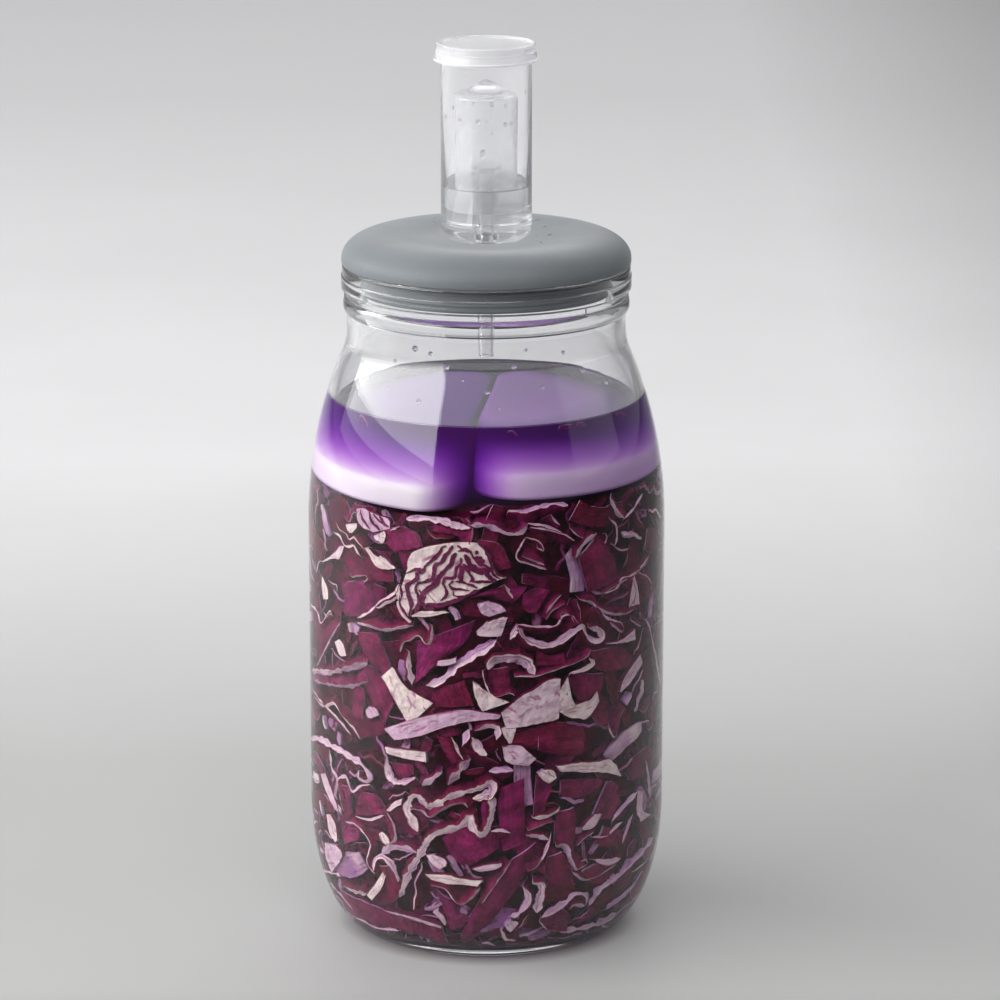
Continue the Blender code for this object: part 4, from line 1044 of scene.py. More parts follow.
def seam_shift(radius, height, angle):
    """How far a mould seam stands proud of the flange or the groove under it."""
    for seam, low, high in ((SEAM_ANGLES[0], FLANGE_STEP, RIM_TOP),
                            (SEAM_ANGLES[1], BEAD_TOP, FLANGE_BOTTOM)):
        away = (angle - math.radians(seam) + math.pi) % math.tau - math.pi
        away = abs(away) * FLANGE_RADIUS / SEAM_HALF_WIDTH
        if away < 1.0 and low < height < high and radius > MOUTH_RADIUS + WALL / 2:
            return SEAM_HEIGHT * (1.0 - away)
    return 0.0


def build_jar():
    mesh = turned_mesh("jar_glass", jar_profile(), JAR_SIDES, angles=seam_angles(),
                       shift=seam_shift)
    jar = add_object("jar_glass", mesh, glass_material("jar_glass"),
                     glass_material("jar_glass_wet", WET_REFLECTION),
                     glass_material("jar_glass_misted", mist=NECK_MIST))
    for face in mesh.polygons:
        across, height = math.hypot(*face.center[:2]), face.center[2]
        if FLOOR_EDGE - MM < height < BEAD_BOTTOM and across < inner_radius(height) + 0.5 * MM:
            face.material_index = 1 if height < BRINE_LEVEL else 2
    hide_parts("jar")


def build_brine():
    """The brine fills the jar up to its level and reaches just into the wall all round."""
    profile = [(0.0, FLOOR_TOP - INTO_WALL)] + floor_and_heel(FLOOR_SHARES, HEEL_STEPS, INTO_WALL)
    top = BRINE_LEVEL + BRINE_MENISCUS
    profile += shoulder_points(SHOULDER_ARC - WALL + INTO_WALL, SHOULDER_START, top, 18)
    edge = inner_radius(top)
    for share in np.linspace(0.0, 1.0, 8).tolist():
        fall = BRINE_MENISCUS * (1.0 - share) ** 2.4
        profile.append((edge - BRINE_MENISCUS_WIDTH * share, BRINE_LEVEL + fall))
    profile += [(edge * share, BRINE_LEVEL) for share in (0.75, 0.5, 0.25)]
    profile.append((0.0, BRINE_LEVEL))
    mesh = turned_mesh("brine", profile, JAR_SIDES)
    brine = add_object("brine", mesh, brine_material("brine_at_glass", WET_REFLECTION, BRINE_CLOUDINESS),
                       brine_material("brine_surface"))
    for face in mesh.polygons:
        face.material_index = int(face.center[2] > BRINE_LEVEL - 0.01 * MM)


def build_lid():
    hole = STEM_RADIUS + CLEARANCE
    panel_top = LID_CREST_HEIGHT - LID_DISH_DEPTH
    panel_bottom = panel_top - LID_PANEL
    edge_top = LID_BOTTOM + LID_EDGE_LIP
    profile = [(hole, panel_bottom), (hole, panel_top - 0.0004), (hole + 0.0004, panel_top)]
    profile.append((LID_DISH_RADIUS * 0.6, panel_top))
    for share in np.linspace(0.0, 0.95, 14).tolist():
        radius = LID_DISH_RADIUS + (LID_CREST_RADIUS - LID_DISH_RADIUS) * share
        rise = 0.5 - 0.5 * math.cos(math.pi * share)
        profile.append((radius, panel_top + LID_DISH_DEPTH * rise))
    profile += arc(LID_CREST_RADIUS, edge_top, LID_RADIUS - LID_CREST_RADIUS,
                   LID_CREST_HEIGHT - edge_top, 90, 0, 28)
    profile += arc(LID_RADIUS - EDGE_ROUND, LID_BOTTOM + EDGE_ROUND, EDGE_ROUND, EDGE_ROUND,
                   0, -90, 4)
    profile.append((PLUG_RADIUS, LID_BOTTOM))
    for height in PLUG_FIN_HEIGHTS:
        profile += arc(PLUG_RADIUS, height, PLUG_FIN_RADIUS - PLUG_RADIUS,
                       PLUG_FIN_HALF_HEIGHT, 90, -90, 6)
    profile += arc(PLUG_RADIUS - PLUG_CHAMFER, PLUG_BOTTOM + PLUG_CHAMFER, PLUG_CHAMFER,
                   PLUG_CHAMFER, 0, -90, 4)
    profile += [(PLUG_INNER_RADIUS, PLUG_BOTTOM), (PLUG_INNER_RADIUS - PLUG_CHAMFER, panel_bottom)]
    lid = add_object("lid_silicone", turned_mesh("lid_silicone", profile, LID_SIDES, True),
                     silicone_material())
    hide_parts("lid")


def build_airlock_cup():
    """The clear cup, with the tube up its middle and the stem down through the lid."""
    lip = TUBE_MOUTH_LIP / 2
    profile = [(CUP_INNER, CUP_TOP - FINE_ROUND), (CUP_INNER + FINE_ROUND, CUP_TOP)]
    profile += [(CUP_RADIUS - FINE_ROUND, CUP_TOP), (CUP_RADIUS, CUP_TOP - FINE_ROUND)]
    profile += [(CUP_RADIUS, CUP_RING_HEIGHT + 2 * CUP_RING_SIZE)]
    profile += arc(CUP_RADIUS, CUP_RING_HEIGHT, CUP_RING_SIZE, CUP_RING_SIZE * 1.6, 80, -80, 6)
    profile += arc(CUP_RADIUS - CUP_CORNER, CUP_BOTTOM + CUP_CORNER, CUP_CORNER, CUP_CORNER,
                   0, -90, 14)
    profile += [(STEM_RADIUS + 0.0004, CUP_BOTTOM), (STEM_RADIUS, CUP_BOTTOM - 0.0004)]
    profile += [(STEM_RADIUS, STEM_TAPER_START)]
    profile += [(STEM_TIP_RADIUS, STEM_BOTTOM + FINE_ROUND)]
    profile += [(STEM_TIP_RADIUS - FINE_ROUND, STEM_BOTTOM)]
    profile += [(STEM_TIP_BORE, STEM_BOTTOM), (TUBE_BORE, TUBE_TOP - 0.003)]
    profile += arc(TUBE_MOUTH_RADIUS - lip, TUBE_TOP - lip, lip, lip, 90, -90, 6)
    profile += [(TUBE_RADIUS, TUBE_TOP - 2 * TUBE_MOUTH_LIP)]
    profile += [(TUBE_RADIUS, CUP_FLOOR_TOP + 0.0008), (TUBE_RADIUS + 0.0008, CUP_FLOOR_TOP)]
    profile += arc(CUP_INNER - CUP_INNER_CORNER, CUP_FLOOR_TOP + CUP_INNER_CORNER,
                   CUP_INNER_CORNER, CUP_INNER_CORNER, -90, 0, 12)
    mesh = turned_mesh("airlock_cup", profile, AIRLOCK_SIDES, True)
    cup = add_object("airlock_cup", mesh, plastic_material())
    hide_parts("airlock_body")


def build_airlock_water():
    """The water in the cup, which reaches just into the cup and the tube and creeps up both."""
    radius = CUP_INNER + INTO_WALL
    tube = TUBE_RADIUS - INTO_WALL
    corner = CUP_INNER_CORNER + INTO_WALL
    base = CUP_FLOOR_TOP - INTO_WALL
    profile = [(tube, WATER_LEVEL + 0.0009), (TUBE_RADIUS + 0.0004, WATER_LEVEL + 0.0003)]
    profile += [(TUBE_RADIUS + 0.0012, WATER_LEVEL), (CUP_INNER - 0.0018, WATER_LEVEL)]
    profile += [(CUP_INNER - 0.0008, WATER_LEVEL + 0.0003), (radius, WATER_LEVEL + 0.0010)]
    profile += arc(radius - corner, base + corner, corner, corner, 0, -90, 12)
    profile.append((tube, base))
    mesh = turned_mesh("airlock_liquid", profile, AIRLOCK_SIDES, True)
    water = add_object("airlock_liquid", mesh, water_material())
    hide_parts("airlock_water")


def build_airlock_float():
    """The inverted cup over the tube, with a raised boss on its top."""
    inner = FLOAT_RADIUS - FLOAT_WALL
    boss_top = FLOAT_SHOULDER + FLOAT_BOSS_HEIGHT
    profile = [(0.0, FLOAT_PEAK), (FLOAT_BOSS_RADIUS * 0.18, FLOAT_PEAK - 0.0002)]
    profile += [(FLOAT_BOSS_RADIUS * 0.35, FLOAT_PEAK - FLOAT_WALL)]
    profile += [(FLOAT_BOSS_RADIUS * 0.95, boss_top), (FLOAT_BOSS_RADIUS, boss_top - 0.0004)]
    profile += [(FLOAT_BOSS_RADIUS, FLOAT_SHOULDER + 0.0001)]
    profile += arc(FLOAT_RADIUS - FLOAT_SHOULDER_ROUND, FLOAT_SHOULDER - FLOAT_SHOULDER_ROUND,
                   FLOAT_SHOULDER_ROUND, FLOAT_SHOULDER_ROUND, 90, 0, 6)
    profile += [(FLOAT_RADIUS, FLOAT_BOTTOM), (inner, FLOAT_BOTTOM)]
    bend = FLOAT_SHOULDER_ROUND - FLOAT_WALL / 2
    profile += arc(inner - bend, FLOAT_SHOULDER - FLOAT_WALL - bend, bend, bend, 0, 90, 5)
    profile.append((0.0, FLOAT_SHOULDER - FLOAT_WALL + 0.0002))
    mesh = turned_mesh("airlock_bell", profile, AIRLOCK_SIDES)
    bell = add_object("airlock_bell", mesh, milky_material("bell_plastic", (0.96, 0.96, 0.965), 0.92))
    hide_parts("airlock_float")


def build_airlock_cap():
    """The push-on cap, with a rim round its top, a step and a flared lip."""
    bore = CUP_RADIUS + CLEARANCE
    panel = CAP_TOP - CAP_PANEL_DROP
    skirt = CAP_RADIUS + CAP_STEP
    profile = [(0.0, panel), (CAP_RADIUS - CAP_RIM_WIDTH - 2 * CAP_STEP, panel)]
    profile += arc(CAP_RADIUS - CAP_RIM_WIDTH / 2 - CAP_STEP / 2, CAP_TOP - CAP_STEP,
                   CAP_RIM_WIDTH / 2 + CAP_STEP / 2, CAP_STEP, 160, 0, 9)
    profile += [(CAP_RADIUS, CAP_STEP_HEIGHT + 0.0002), (skirt, CAP_STEP_HEIGHT - 0.0002)]
    profile += [(skirt, CAP_BOTTOM + 2.4 * CAP_LIP_THICKNESS)]
    profile += [(skirt + 0.0002, CAP_BOTTOM + 1.8 * CAP_LIP_THICKNESS)]
    profile += arc(CAP_LIP_RADIUS - CAP_LIP_THICKNESS / 2, CAP_BOTTOM + CAP_LIP_THICKNESS / 2,
                   CAP_LIP_THICKNESS / 2, CAP_LIP_THICKNESS / 2, 90, -90, 8)
    profile += [(bore, CAP_BOTTOM), (bore, CUP_TOP + CLEARANCE), (0.0, CUP_TOP + CLEARANCE)]
    mesh = turned_mesh("airlock_lid", profile, AIRLOCK_SIDES)
    cap = add_object("airlock_lid", mesh, milky_material("cap_plastic", (0.885, 0.885, 0.89), 0.72))
    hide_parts("airlock_cap")


def half_moon_outline(inset, cut_inset):
    """Outline of a half disc with rounded corners, flat side at x = 0, pulled in by the insets."""
    radius = WEIGHT_RADIUS - inset
    cut = WEIGHT_CUT + cut_inset
    corner = WEIGHT_CORNER - inset / 4
    corner_y = math.sqrt((radius - corner) ** 2 - (cut + corner) ** 2)
    turn = math.degrees(math.atan2(corner_y, cut + corner))
    outline = arc(0.0, 0.0, radius, radius, -turn, turn, 56)
    outline += arc(cut + corner, corner_y, corner, corner, turn, 180.0, 18)[1:]
    straight = np.linspace(corner_y, -corner_y, 26)[1:-1].tolist()
    outline += [(cut, y) for y in straight]
    outline += arc(cut + corner, -corner_y, corner, corner, 180.0, 360.0 - turn, 18)[:-1]
    return outline


def weight_levels(round_steps, dome_steps):
    """(inset, height) of the weight's round side: edge, upright side, shoulder and dome."""
    edge = WEIGHT_BOTTOM_EDGE
    levels = arc(edge, edge, -edge, edge, -90, 0, round_steps)
    levels += arc(WEIGHT_SHOULDER_WIDTH, WEIGHT_SIDE_HEIGHT, -WEIGHT_SHOULDER_WIDTH,
                  WEIGHT_SHOULDER_HEIGHT, 0, 75, round_steps)
    inset, height = levels[-1]
    for step in range(1, dome_steps + 1):
        share = step / dome_steps
        rise = (WEIGHT_THICKNESS - height) * (1.0 - (1.0 - share) ** 2)
        levels.append((inset + (WEIGHT_DOME_WIDTH - inset) * share, height + rise))
    return levels


def build_weight(node, side, place, tilt, roll, material):
    """A half-moon weight, domed above its upright side, on the side -1 or +1 of the gap."""
    pose = Matrix.Translation(place) @ Euler((tilt, roll, WEIGHT_GAP_TURN)).to_matrix().to_4x4()
    bm = bmesh.new()
    rings = []
    for inset, height in weight_levels(8, 24):
        above = max(0.0, height - WEIGHT_THICKNESS + WEIGHT_CUT_EDGE) / WEIGHT_CUT_EDGE
        below = max(0.0, WEIGHT_BOTTOM_EDGE - height)
        cut_inset = WEIGHT_CUT_EDGE * (1.0 - math.sqrt(max(0.0, 1.0 - above ** 2))) + below / 2
        outline = half_moon_outline(inset + WEIGHT_SIDE_LEAN * height, cut_inset)
        rings.append([bm.verts.new(pose @ Vector((side * x, y, height))) for x, y in outline])
    weight = add_object(node + "_glazed", lofted_mesh(node + "_glazed", bm, rings), material)
    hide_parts(node)


def lengths_along(points):
    return np.concatenate(([0.0], np.cumsum(np.hypot(*np.diff(points, axis=0).T))))


def resample(points, count):
    """The given number of places, evenly spaced along a line through the points."""
    points = np.array(points, float)
    lengths = lengths_along(points)
    even = np.linspace(0.0, lengths[-1], count)
    return np.stack([np.interp(even, lengths, points[:, k]) for k in (0, 1)], axis=1)


def smooth_path(points, step):
    """Places every step along a smooth curve through the points."""
    points = np.array(points, float)
    if len(points) == 2:
        points = np.array([points[0], points.mean(0), points[1]])
    padded = np.vstack([2 * points[0] - points[1], points, 2 * points[-1] - points[-2]])
    dense = []
    for a, b, c, d in zip(padded, padded[1:], padded[2:], padded[3:]):
        t = np.linspace(0.0, 1.0, 16, endpoint=False)[:, None]
        dense.append(0.5 * (2 * b + (c - a) * t + (2 * a - 5 * b + 4 * c - d) * t ** 2
                            + (3 * b - a - 3 * c + d) * t ** 3))
    dense = np.vstack(dense + [points[-1:]])
    return resample(dense, max(4, int(lengths_along(dense)[-1] / step) + 1))


def stations_from_end(count):
    """How many stations each one is away from the nearer end."""
    return np.minimum(np.arange(count), np.arange(count)[::-1])


def soften(values, reach):
    """A running mean over reach stations to each side."""
    if len(values) < 2 * reach + 1:
        return values
    padded = np.pad(values, reach, mode="edge")
    kernel = np.ones(2 * reach + 1) / (2 * reach + 1)
    return np.convolve(padded, kernel, mode="valid")


class Wall:
    """The inside of the jar laid flat, in millimetres.

    A place is (u, v, depth): u runs round the jar from the front, v up its inner profile from
    the floor, and depth from the glass inward. The grid holds how deep each place is filled.
    """

    RADIUS = (BODY_RADIUS - WALL) / MM
    FLOOR_START_SHARE = 0.62
    V_STEP = 0.5

    def __init__(self):
        shares = np.linspace(self.FLOOR_START_SHARE, 1.0, 12)[:-1].tolist()
        profile = floor_and_heel(shares, 40)
        profile += [(BODY_RADIUS - WALL, z) for z in np.linspace(0.06, 0.16, 11).tolist()]
        profile += shoulder_points(SHOULDER_ARC - WALL, SHOULDER_START, BRINE_LEVEL, 12)
        points = np.array(profile) / MM
        v = lengths_along(points)
        self.v = np.arange(0.0, v[-1], self.V_STEP)
        self.r = np.interp(self.v, v, points[:, 0])
        self.z = np.interp(self.v, v, points[:, 1])
        slope_r = np.gradient(self.r, self.v)
        slope_z = np.gradient(self.z, self.v)
        length = np.hypot(slope_r, slope_z)
        self.in_r = -slope_z / length
        self.in_z = slope_r / length
        self.around = math.tau * self.RADIUS
        self.columns = int(self.around / DEPTH_CELL_MM)
        self.rows = int(self.v[-1] / DEPTH_CELL_MM) + 1
        self.filled = np.full((self.columns, self.rows), WALL_CLEARANCE_MM)

    def v_of_height(self, height):
        """v of a height above the heel's lowest point, in metres."""
        start = int(np.argmin(self.z))
        return float(np.interp(height / MM, self.z[start:], self.v[start:]))

    def highest(self, u):
        """The highest v for a shred at u, under the weight that lies above it."""
        angle = u / self.RADIUS - WEIGHT_GAP_TURN
        left = LEFT_WEIGHT_PLACE[2] / MM - self.RADIUS * np.cos(angle) * math.tan(LEFT_WEIGHT_TILT)
        right = RIGHT_WEIGHT_PLACE[2] / MM - self.RADIUS * np.sin(angle) * math.tan(RIGHT_WEIGHT_ROLL)
        height = np.where(np.sin(angle) > 0.0, right, left) - CEILING_CLEARANCE_MM
        start = int(np.argmin(self.z))
        return np.interp(height, self.z[start:], self.v[start:])

    def stretch(self, v):
        """How much of u one millimetre round the glass takes at v."""
        return self.RADIUS / np.interp(v, self.v, self.r)

    def cells(self, u, v):
        column = np.floor(np.mod(u, self.around) / DEPTH_CELL_MM).astype(int) % self.columns
        row = np.clip(np.floor(v / DEPTH_CELL_MM).astype(int), 0, self.rows - 1)
        return column, row

    def place(self, u, v, depth):
        """Points in metres of arrays of u, v and depth."""
        v = np.clip(v, 0.0, self.highest(u))
        r = np.interp(v, self.v, self.r) + depth * np.interp(v, self.v, self.in_r)
        z = np.interp(v, self.v, self.z) + depth * np.interp(v, self.v, self.in_z)
        z = np.minimum(z, np.interp(self.highest(u), self.v, self.z))
        angle = u / self.RADIUS
        return np.stack([r * np.sin(angle), -r * np.cos(angle), z], axis=-1) * MM


class Shreds:
    """Closed strips of leaf gathered into one mesh.

    A strip's cross-section has twelve points: four along each skin and two more on each cut
    face, where the purple outline turns to flesh.
    """

    ACROSS = np.array([-1, -1 / 3, 1 / 3, 1, 1, 1, 1, 1 / 3, -1 / 3, -1, -1, -1], float)
    SECTION = len(ACROSS)
    FLESH_RING = np.array([0, 0, 0, 0, 1, 1, 0, 0, 0, 0, 1, 1], float)
    CUT_FACES = (3, 4, 5, 9, 10, 11)
    END_FACES = np.array([(11, 0, 1, 8), (11, 8, 9, 10), (1, 2, 7, 8), (2, 3, 4, 7), (7, 4, 5, 6)])
    END_FLESH = 0.95
    GRAIN_SHIFT_MM = 400.0
    GRAIN_SLANT = 1.5
    LIMIT = 195000

    def __init__(self, name):
        self.name = name
        self.points = []
        self.faces = []
        self.tissue = []
        self.grain = []
        self.count = 0
        self.triangles = 0

    def full(self):
        return self.triangles > self.LIMIT

    def through(self, thickness, outline):
        """Places of the section's points through the leaf, -1 to 1, one row per station."""
        band = 1.0 - 2.0 * np.minimum(outline, 0.3 * thickness) / thickness
        one = np.ones_like(band)
        rows = [-one, -one, -one, -one, -band, band, one, one, one, one, band, -band]
        return np.stack(rows, axis=1)

    def add(self, points, thickness, along, width, tone, pale, chance, cut=1.0, deep=0.0):
        """A strip through its sections, an array of stations by twelve points in metres."""
        stations = len(points)
        section = self.SECTION
        base = self.count
        self.points.append(points.reshape(-1, 3))
        self.count += stations * section
        ring = np.arange(section)
        following = (ring + 1) % section
        start = base + section * np.arange(stations - 1)[:, None]
        quads = np.stack([start + ring, start + following, start + section + following,
                          start + section + ring], axis=-1)
        first = (base + self.END_FACES)[:, ::-1]
        last = base + section * (stations - 1) + self.END_FACES
        self.faces.append(np.concatenate([quads.reshape(-1, 4), first, last]))
        end_faces = len(first) + len(last)
        self.triangles += 2 * (section * (stations - 1) + end_faces)
        flesh = np.zeros((stations - 1, section, 4))
        for face in self.CUT_FACES:
            following_face = (face + 1) % section
            flesh[:, face] = self.FLESH_RING[[face, following_face, following_face, face]]
        ends = np.full((end_faces, 4), self.END_FLESH)
        flesh = np.concatenate([flesh.reshape(-1, 4), ends]) * cut
        rows = np.empty((len(flesh), 4, 4))
        rows[..., 0] = flesh
        rows[..., 1] = tone
        rows[..., 2] = pale
        rows[..., 3] = deep
        self.tissue.append(rows.reshape(-1, 4))
        vector = np.empty((stations, section, 3))
        vector[..., 0] = along[:, None] + chance * self.GRAIN_SHIFT_MM
        vector[..., 1] = self.ACROSS * width[:, None] / 2
        vector[..., 2] = self.through(thickness, OUTLINE_MM)
        vector[..., 1] += vector[..., 2] * self.GRAIN_SLANT
        self.grain.append(vector.reshape(-1, 3))

    def build(self, material):
        points = np.concatenate(self.points)
        faces = np.concatenate(self.faces)
        mesh = bpy.data.meshes.new(self.name)
        mesh.vertices.add(len(points))
        mesh.vertices.foreach_set("co", points.ravel())
        mesh.loops.add(faces.size)
        mesh.loops.foreach_set("vertex_index", faces.ravel())
        mesh.polygons.add(len(faces))
        mesh.polygons.foreach_set("loop_start", np.arange(0, faces.size, 4))
        mesh.update(calc_edges=True)
        tissue = mesh.attributes.new("tissue", "FLOAT_COLOR", "CORNER")
        tissue.data.foreach_set("color", np.concatenate(self.tissue).ravel())
        grain = mesh.attributes.new("grain", "FLOAT_VECTOR", "POINT")
        grain.data.foreach_set("vector", np.concatenate(self.grain).ravel())
        mesh.validate()
        piece = add_object(self.name, mesh, material, sharp=50.0)
        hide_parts("cabbage")
        return piece


def lay(wall, shreds, path, width, thickness, roll, wave, tone, pale, chance,
        deepest=LAYER_DEEPEST_MM, gap=0.10, free=None, edge_first=False, cut=1.0):
    """Lays one strip on what already lies at the glass, and says whether it fitted.

    path holds (u, v) at each station, width and thickness are arrays in millimetres, roll is the
    turn about the path in radians, 0 with a skin to the glass, and wave shifts each station
    along the leaf's own normal. tone goes from cream and maroon to lilac and magenta, pale says
    how much the skins look like flesh, and cut how much the cut faces do. free is a depth at
    which the strip lies whatever is there, and edge_first puts the edge nearest the glass,
    instead of the middle, on the path.
    """
    stretch = wall.stretch(path[:, 1])
    step = np.gradient(path, axis=0)
    step[:, 0] /= stretch
    length = np.hypot(step[:, 0], step[:, 1]) + 1e-9
    across_u = -step[:, 1] / length
    across_v = step[:, 0] / length
    along = np.cumsum(length)
    cos_roll, sin_roll = np.cos(roll), np.sin(roll)

    side = Shreds.ACROSS[None, :] * width[:, None] / 2
    through = shreds.through(thickness, OUTLINE_MM) * thickness[:, None] / 2 + wave[:, None]
    offset = side * cos_roll[:, None] - through * sin_roll[:, None]
    depth = side * sin_roll[:, None] + through * cos_roll[:, None]
    if edge_first:
        offset = offset + (width / 2 * cos_roll * np.sign(sin_roll))[:, None]

    samples = np.linspace(-0.5, 0.5, 9)[None, :, None]
    skins = np.array([-0.5, 0.5])[None, None, :]
    s = samples * width[:, None, None] + 0.0 * skins
    t = skins * thickness[:, None, None] + wave[:, None, None] + 0.0 * samples
    s_off = s * cos_roll[:, None, None] - t * sin_roll[:, None, None]
    s_depth = s * sin_roll[:, None, None] + t * cos_roll[:, None, None]
    s_u = path[:, 0][:, None, None] + s_off * across_u[:, None, None] * stretch[:, None, None]
    s_v = path[:, 1][:, None, None] + s_off * across_v[:, None, None]
    column, row = wall.cells(s_u, s_v)
    needed = (wall.filled[column, row] - s_depth).max(axis=(1, 2))
    reach = 3
    padded = np.pad(needed, reach, mode="edge")
    raised = np.max([padded[k:k + len(needed)] for k in range(2 * reach + 1)], axis=0)
    settled = np.maximum(soften(raised, reach), needed) + gap
    if free is not None:
        settled = free - s_depth.min(axis=(1, 2))
    back = settled[:, None, None] + s_depth
    if back.max() > deepest:
        return False
    if free is not None:
        back = np.minimum(back, PLACED_MARK_MM)
    np.maximum.at(wall.filled, (column, row), back)
    u = path[:, 0][:, None] + offset * across_u[:, None] * stretch[:, None]
    v = path[:, 1][:, None] + offset * across_v[:, None]
    points = wall.place(u, v, settled[:, None] + depth)
    deep = clamp(float((settled + s_depth.min(axis=(1, 2))).mean()) / DEEP_MM, 0.0, 1.0)
    shreds.add(points, thickness, along, width, tone, pale, chance, cut, deep)
    return True


def photo_ray(x, y):
    """The camera's place and the direction of its ray through a pixel of the photograph."""
    half = PHOTO_PIXELS / 2
    focal = CAMERA_LENS_MM / SENSOR_MM * PHOTO_PIXELS
    pitch = math.radians(90.0 - CAMERA_TILT_DEGREES)
    right = (x - half) / focal
    up = (half - y) / focal
    direction = np.array([right, math.cos(pitch) + up * math.sin(pitch),
                          up * math.cos(pitch) - math.sin(pitch)])
    return np.array(CAMERA_PLACE), direction / np.linalg.norm(direction)


def first_inside(origin, direction, far, radius_of):
    """The first place along a ray that lies within the radius at its height."""
    near = 0.0
    for distance in np.arange(0.0, far, RAY_STEP).tolist():
        point = origin + direction * distance
        if math.hypot(point[0], point[1]) < radius_of(point[2]):
            break
        near = distance
    else:
        return None
    low, high = near, distance
    for _ in range(RAY_HALVINGS):
        middle = (low + high) / 2
        point = origin + direction * middle
        inside = math.hypot(point[0], point[1]) < radius_of(point[2])
        low, high = (low, middle) if inside else (middle, high)
    return origin + direction * high


def on_wall(wall, pixel):
    """(u, v) of what shows at a pixel, just behind the glass, bent as glass and brine bend it."""
    origin, direction = photo_ray(*pixel)
    point = first_inside(origin + direction * RAY_START, direction, RAY_SEARCH, outer_radius)
    if point is None:
        return None
    slope = (outer_radius(point[2] + MM) - outer_radius(point[2] - MM)) / (2 * MM)
    across = math.hypot(point[0], point[1])
    normal = np.array([point[0] / across, point[1] / across, -slope])
    normal /= np.linalg.norm(normal)
    ratio = 1.0 / WATER_IOR
    facing = -float(direction @ normal)
    bent = ratio * direction + (ratio * facing
                                - math.sqrt(1 - ratio ** 2 * (1 - facing ** 2))) * normal
    behind = first_inside(point, bent, RAY_INSIDE, lambda z: inner_radius(z) - MM)
    if behind is None:
        return None
    angle = math.atan2(behind[0], -behind[1])
    return angle * wall.RADIUS, wall.v_of_height(behind[2])


def wall_points(wall, pixels):
    """The places on the wall of those pixels that show any of it."""
    places = [on_wall(wall, pixel) for pixel in pixels]
    return [place for place in places if place is not None]


def ragged(rng, count, size, reach=2):
    """A soft random wobble, one value per station."""
    return soften(rng.normal(0.0, 1.0, count), reach) * size * math.sqrt(2 * reach + 1)


def place_cut_line(wall, shreds, rng, thickness, tone, pixels):
    """A leaf's cut edge along a line of the photograph, with its skin going in beside it."""
    places = wall_points(wall, pixels)
    if len(places) < 2:
        return
    path = smooth_path(places, STATION_STEP_MM * 0.7)
    count = len(path)
    ends = np.minimum(1.0, 0.22 + 0.33 * stations_from_end(count))
    thick = thickness * ends * (1.0 + np.clip(ragged(rng, count, 0.24, 1), -0.5, 0.45))
    lean = rng.uniform(*FLANK_LEANS) * (1 if rng.random() < 0.5 else -1)
    roll = math.copysign(90.0, lean) - lean
    rolls = np.radians(roll + ragged(rng, count, 7.0, 3))
    depth = rng.uniform(*FLANK_WIDTHS_MM) * (0.75 + 0.25 * ends)
    lay(wall, shreds, path, depth, thick, rolls, ragged(rng, count, 0.10, 1), tone, 0.0,
        rng.random(), deepest=ANY_DEPTH_MM, free=rng.uniform(0.15, 0.45), edge_first=True)


def place_vein(wall, shreds, rng, width, tone, pixels):
    """A thin purple line drawn on a slice."""
    path = smooth_path(wall_points(wall, pixels), FINE_STEP_MM)
    count = len(path)
    breadth = VEIN_WIDENING * width * np.minimum(1.0, 0.35 + 0.25 * stations_from_end(count))
    breadth = breadth * (1.0 + np.clip(ragged(rng, count, 0.25, 1), -0.45, 0.5))
    path = path + ragged(rng, 2 * count, 0.10, 1).reshape(count, 2)
    lay(wall, shreds, path, breadth, np.full(count, VEIN_THICKNESS_MM), np.zeros(count),
        np.zeros(count), tone, VEIN_PALENESS, rng.random(), deepest=ANY_DEPTH_MM,
        free=VEIN_DEPTH_MM, cut=0.0)


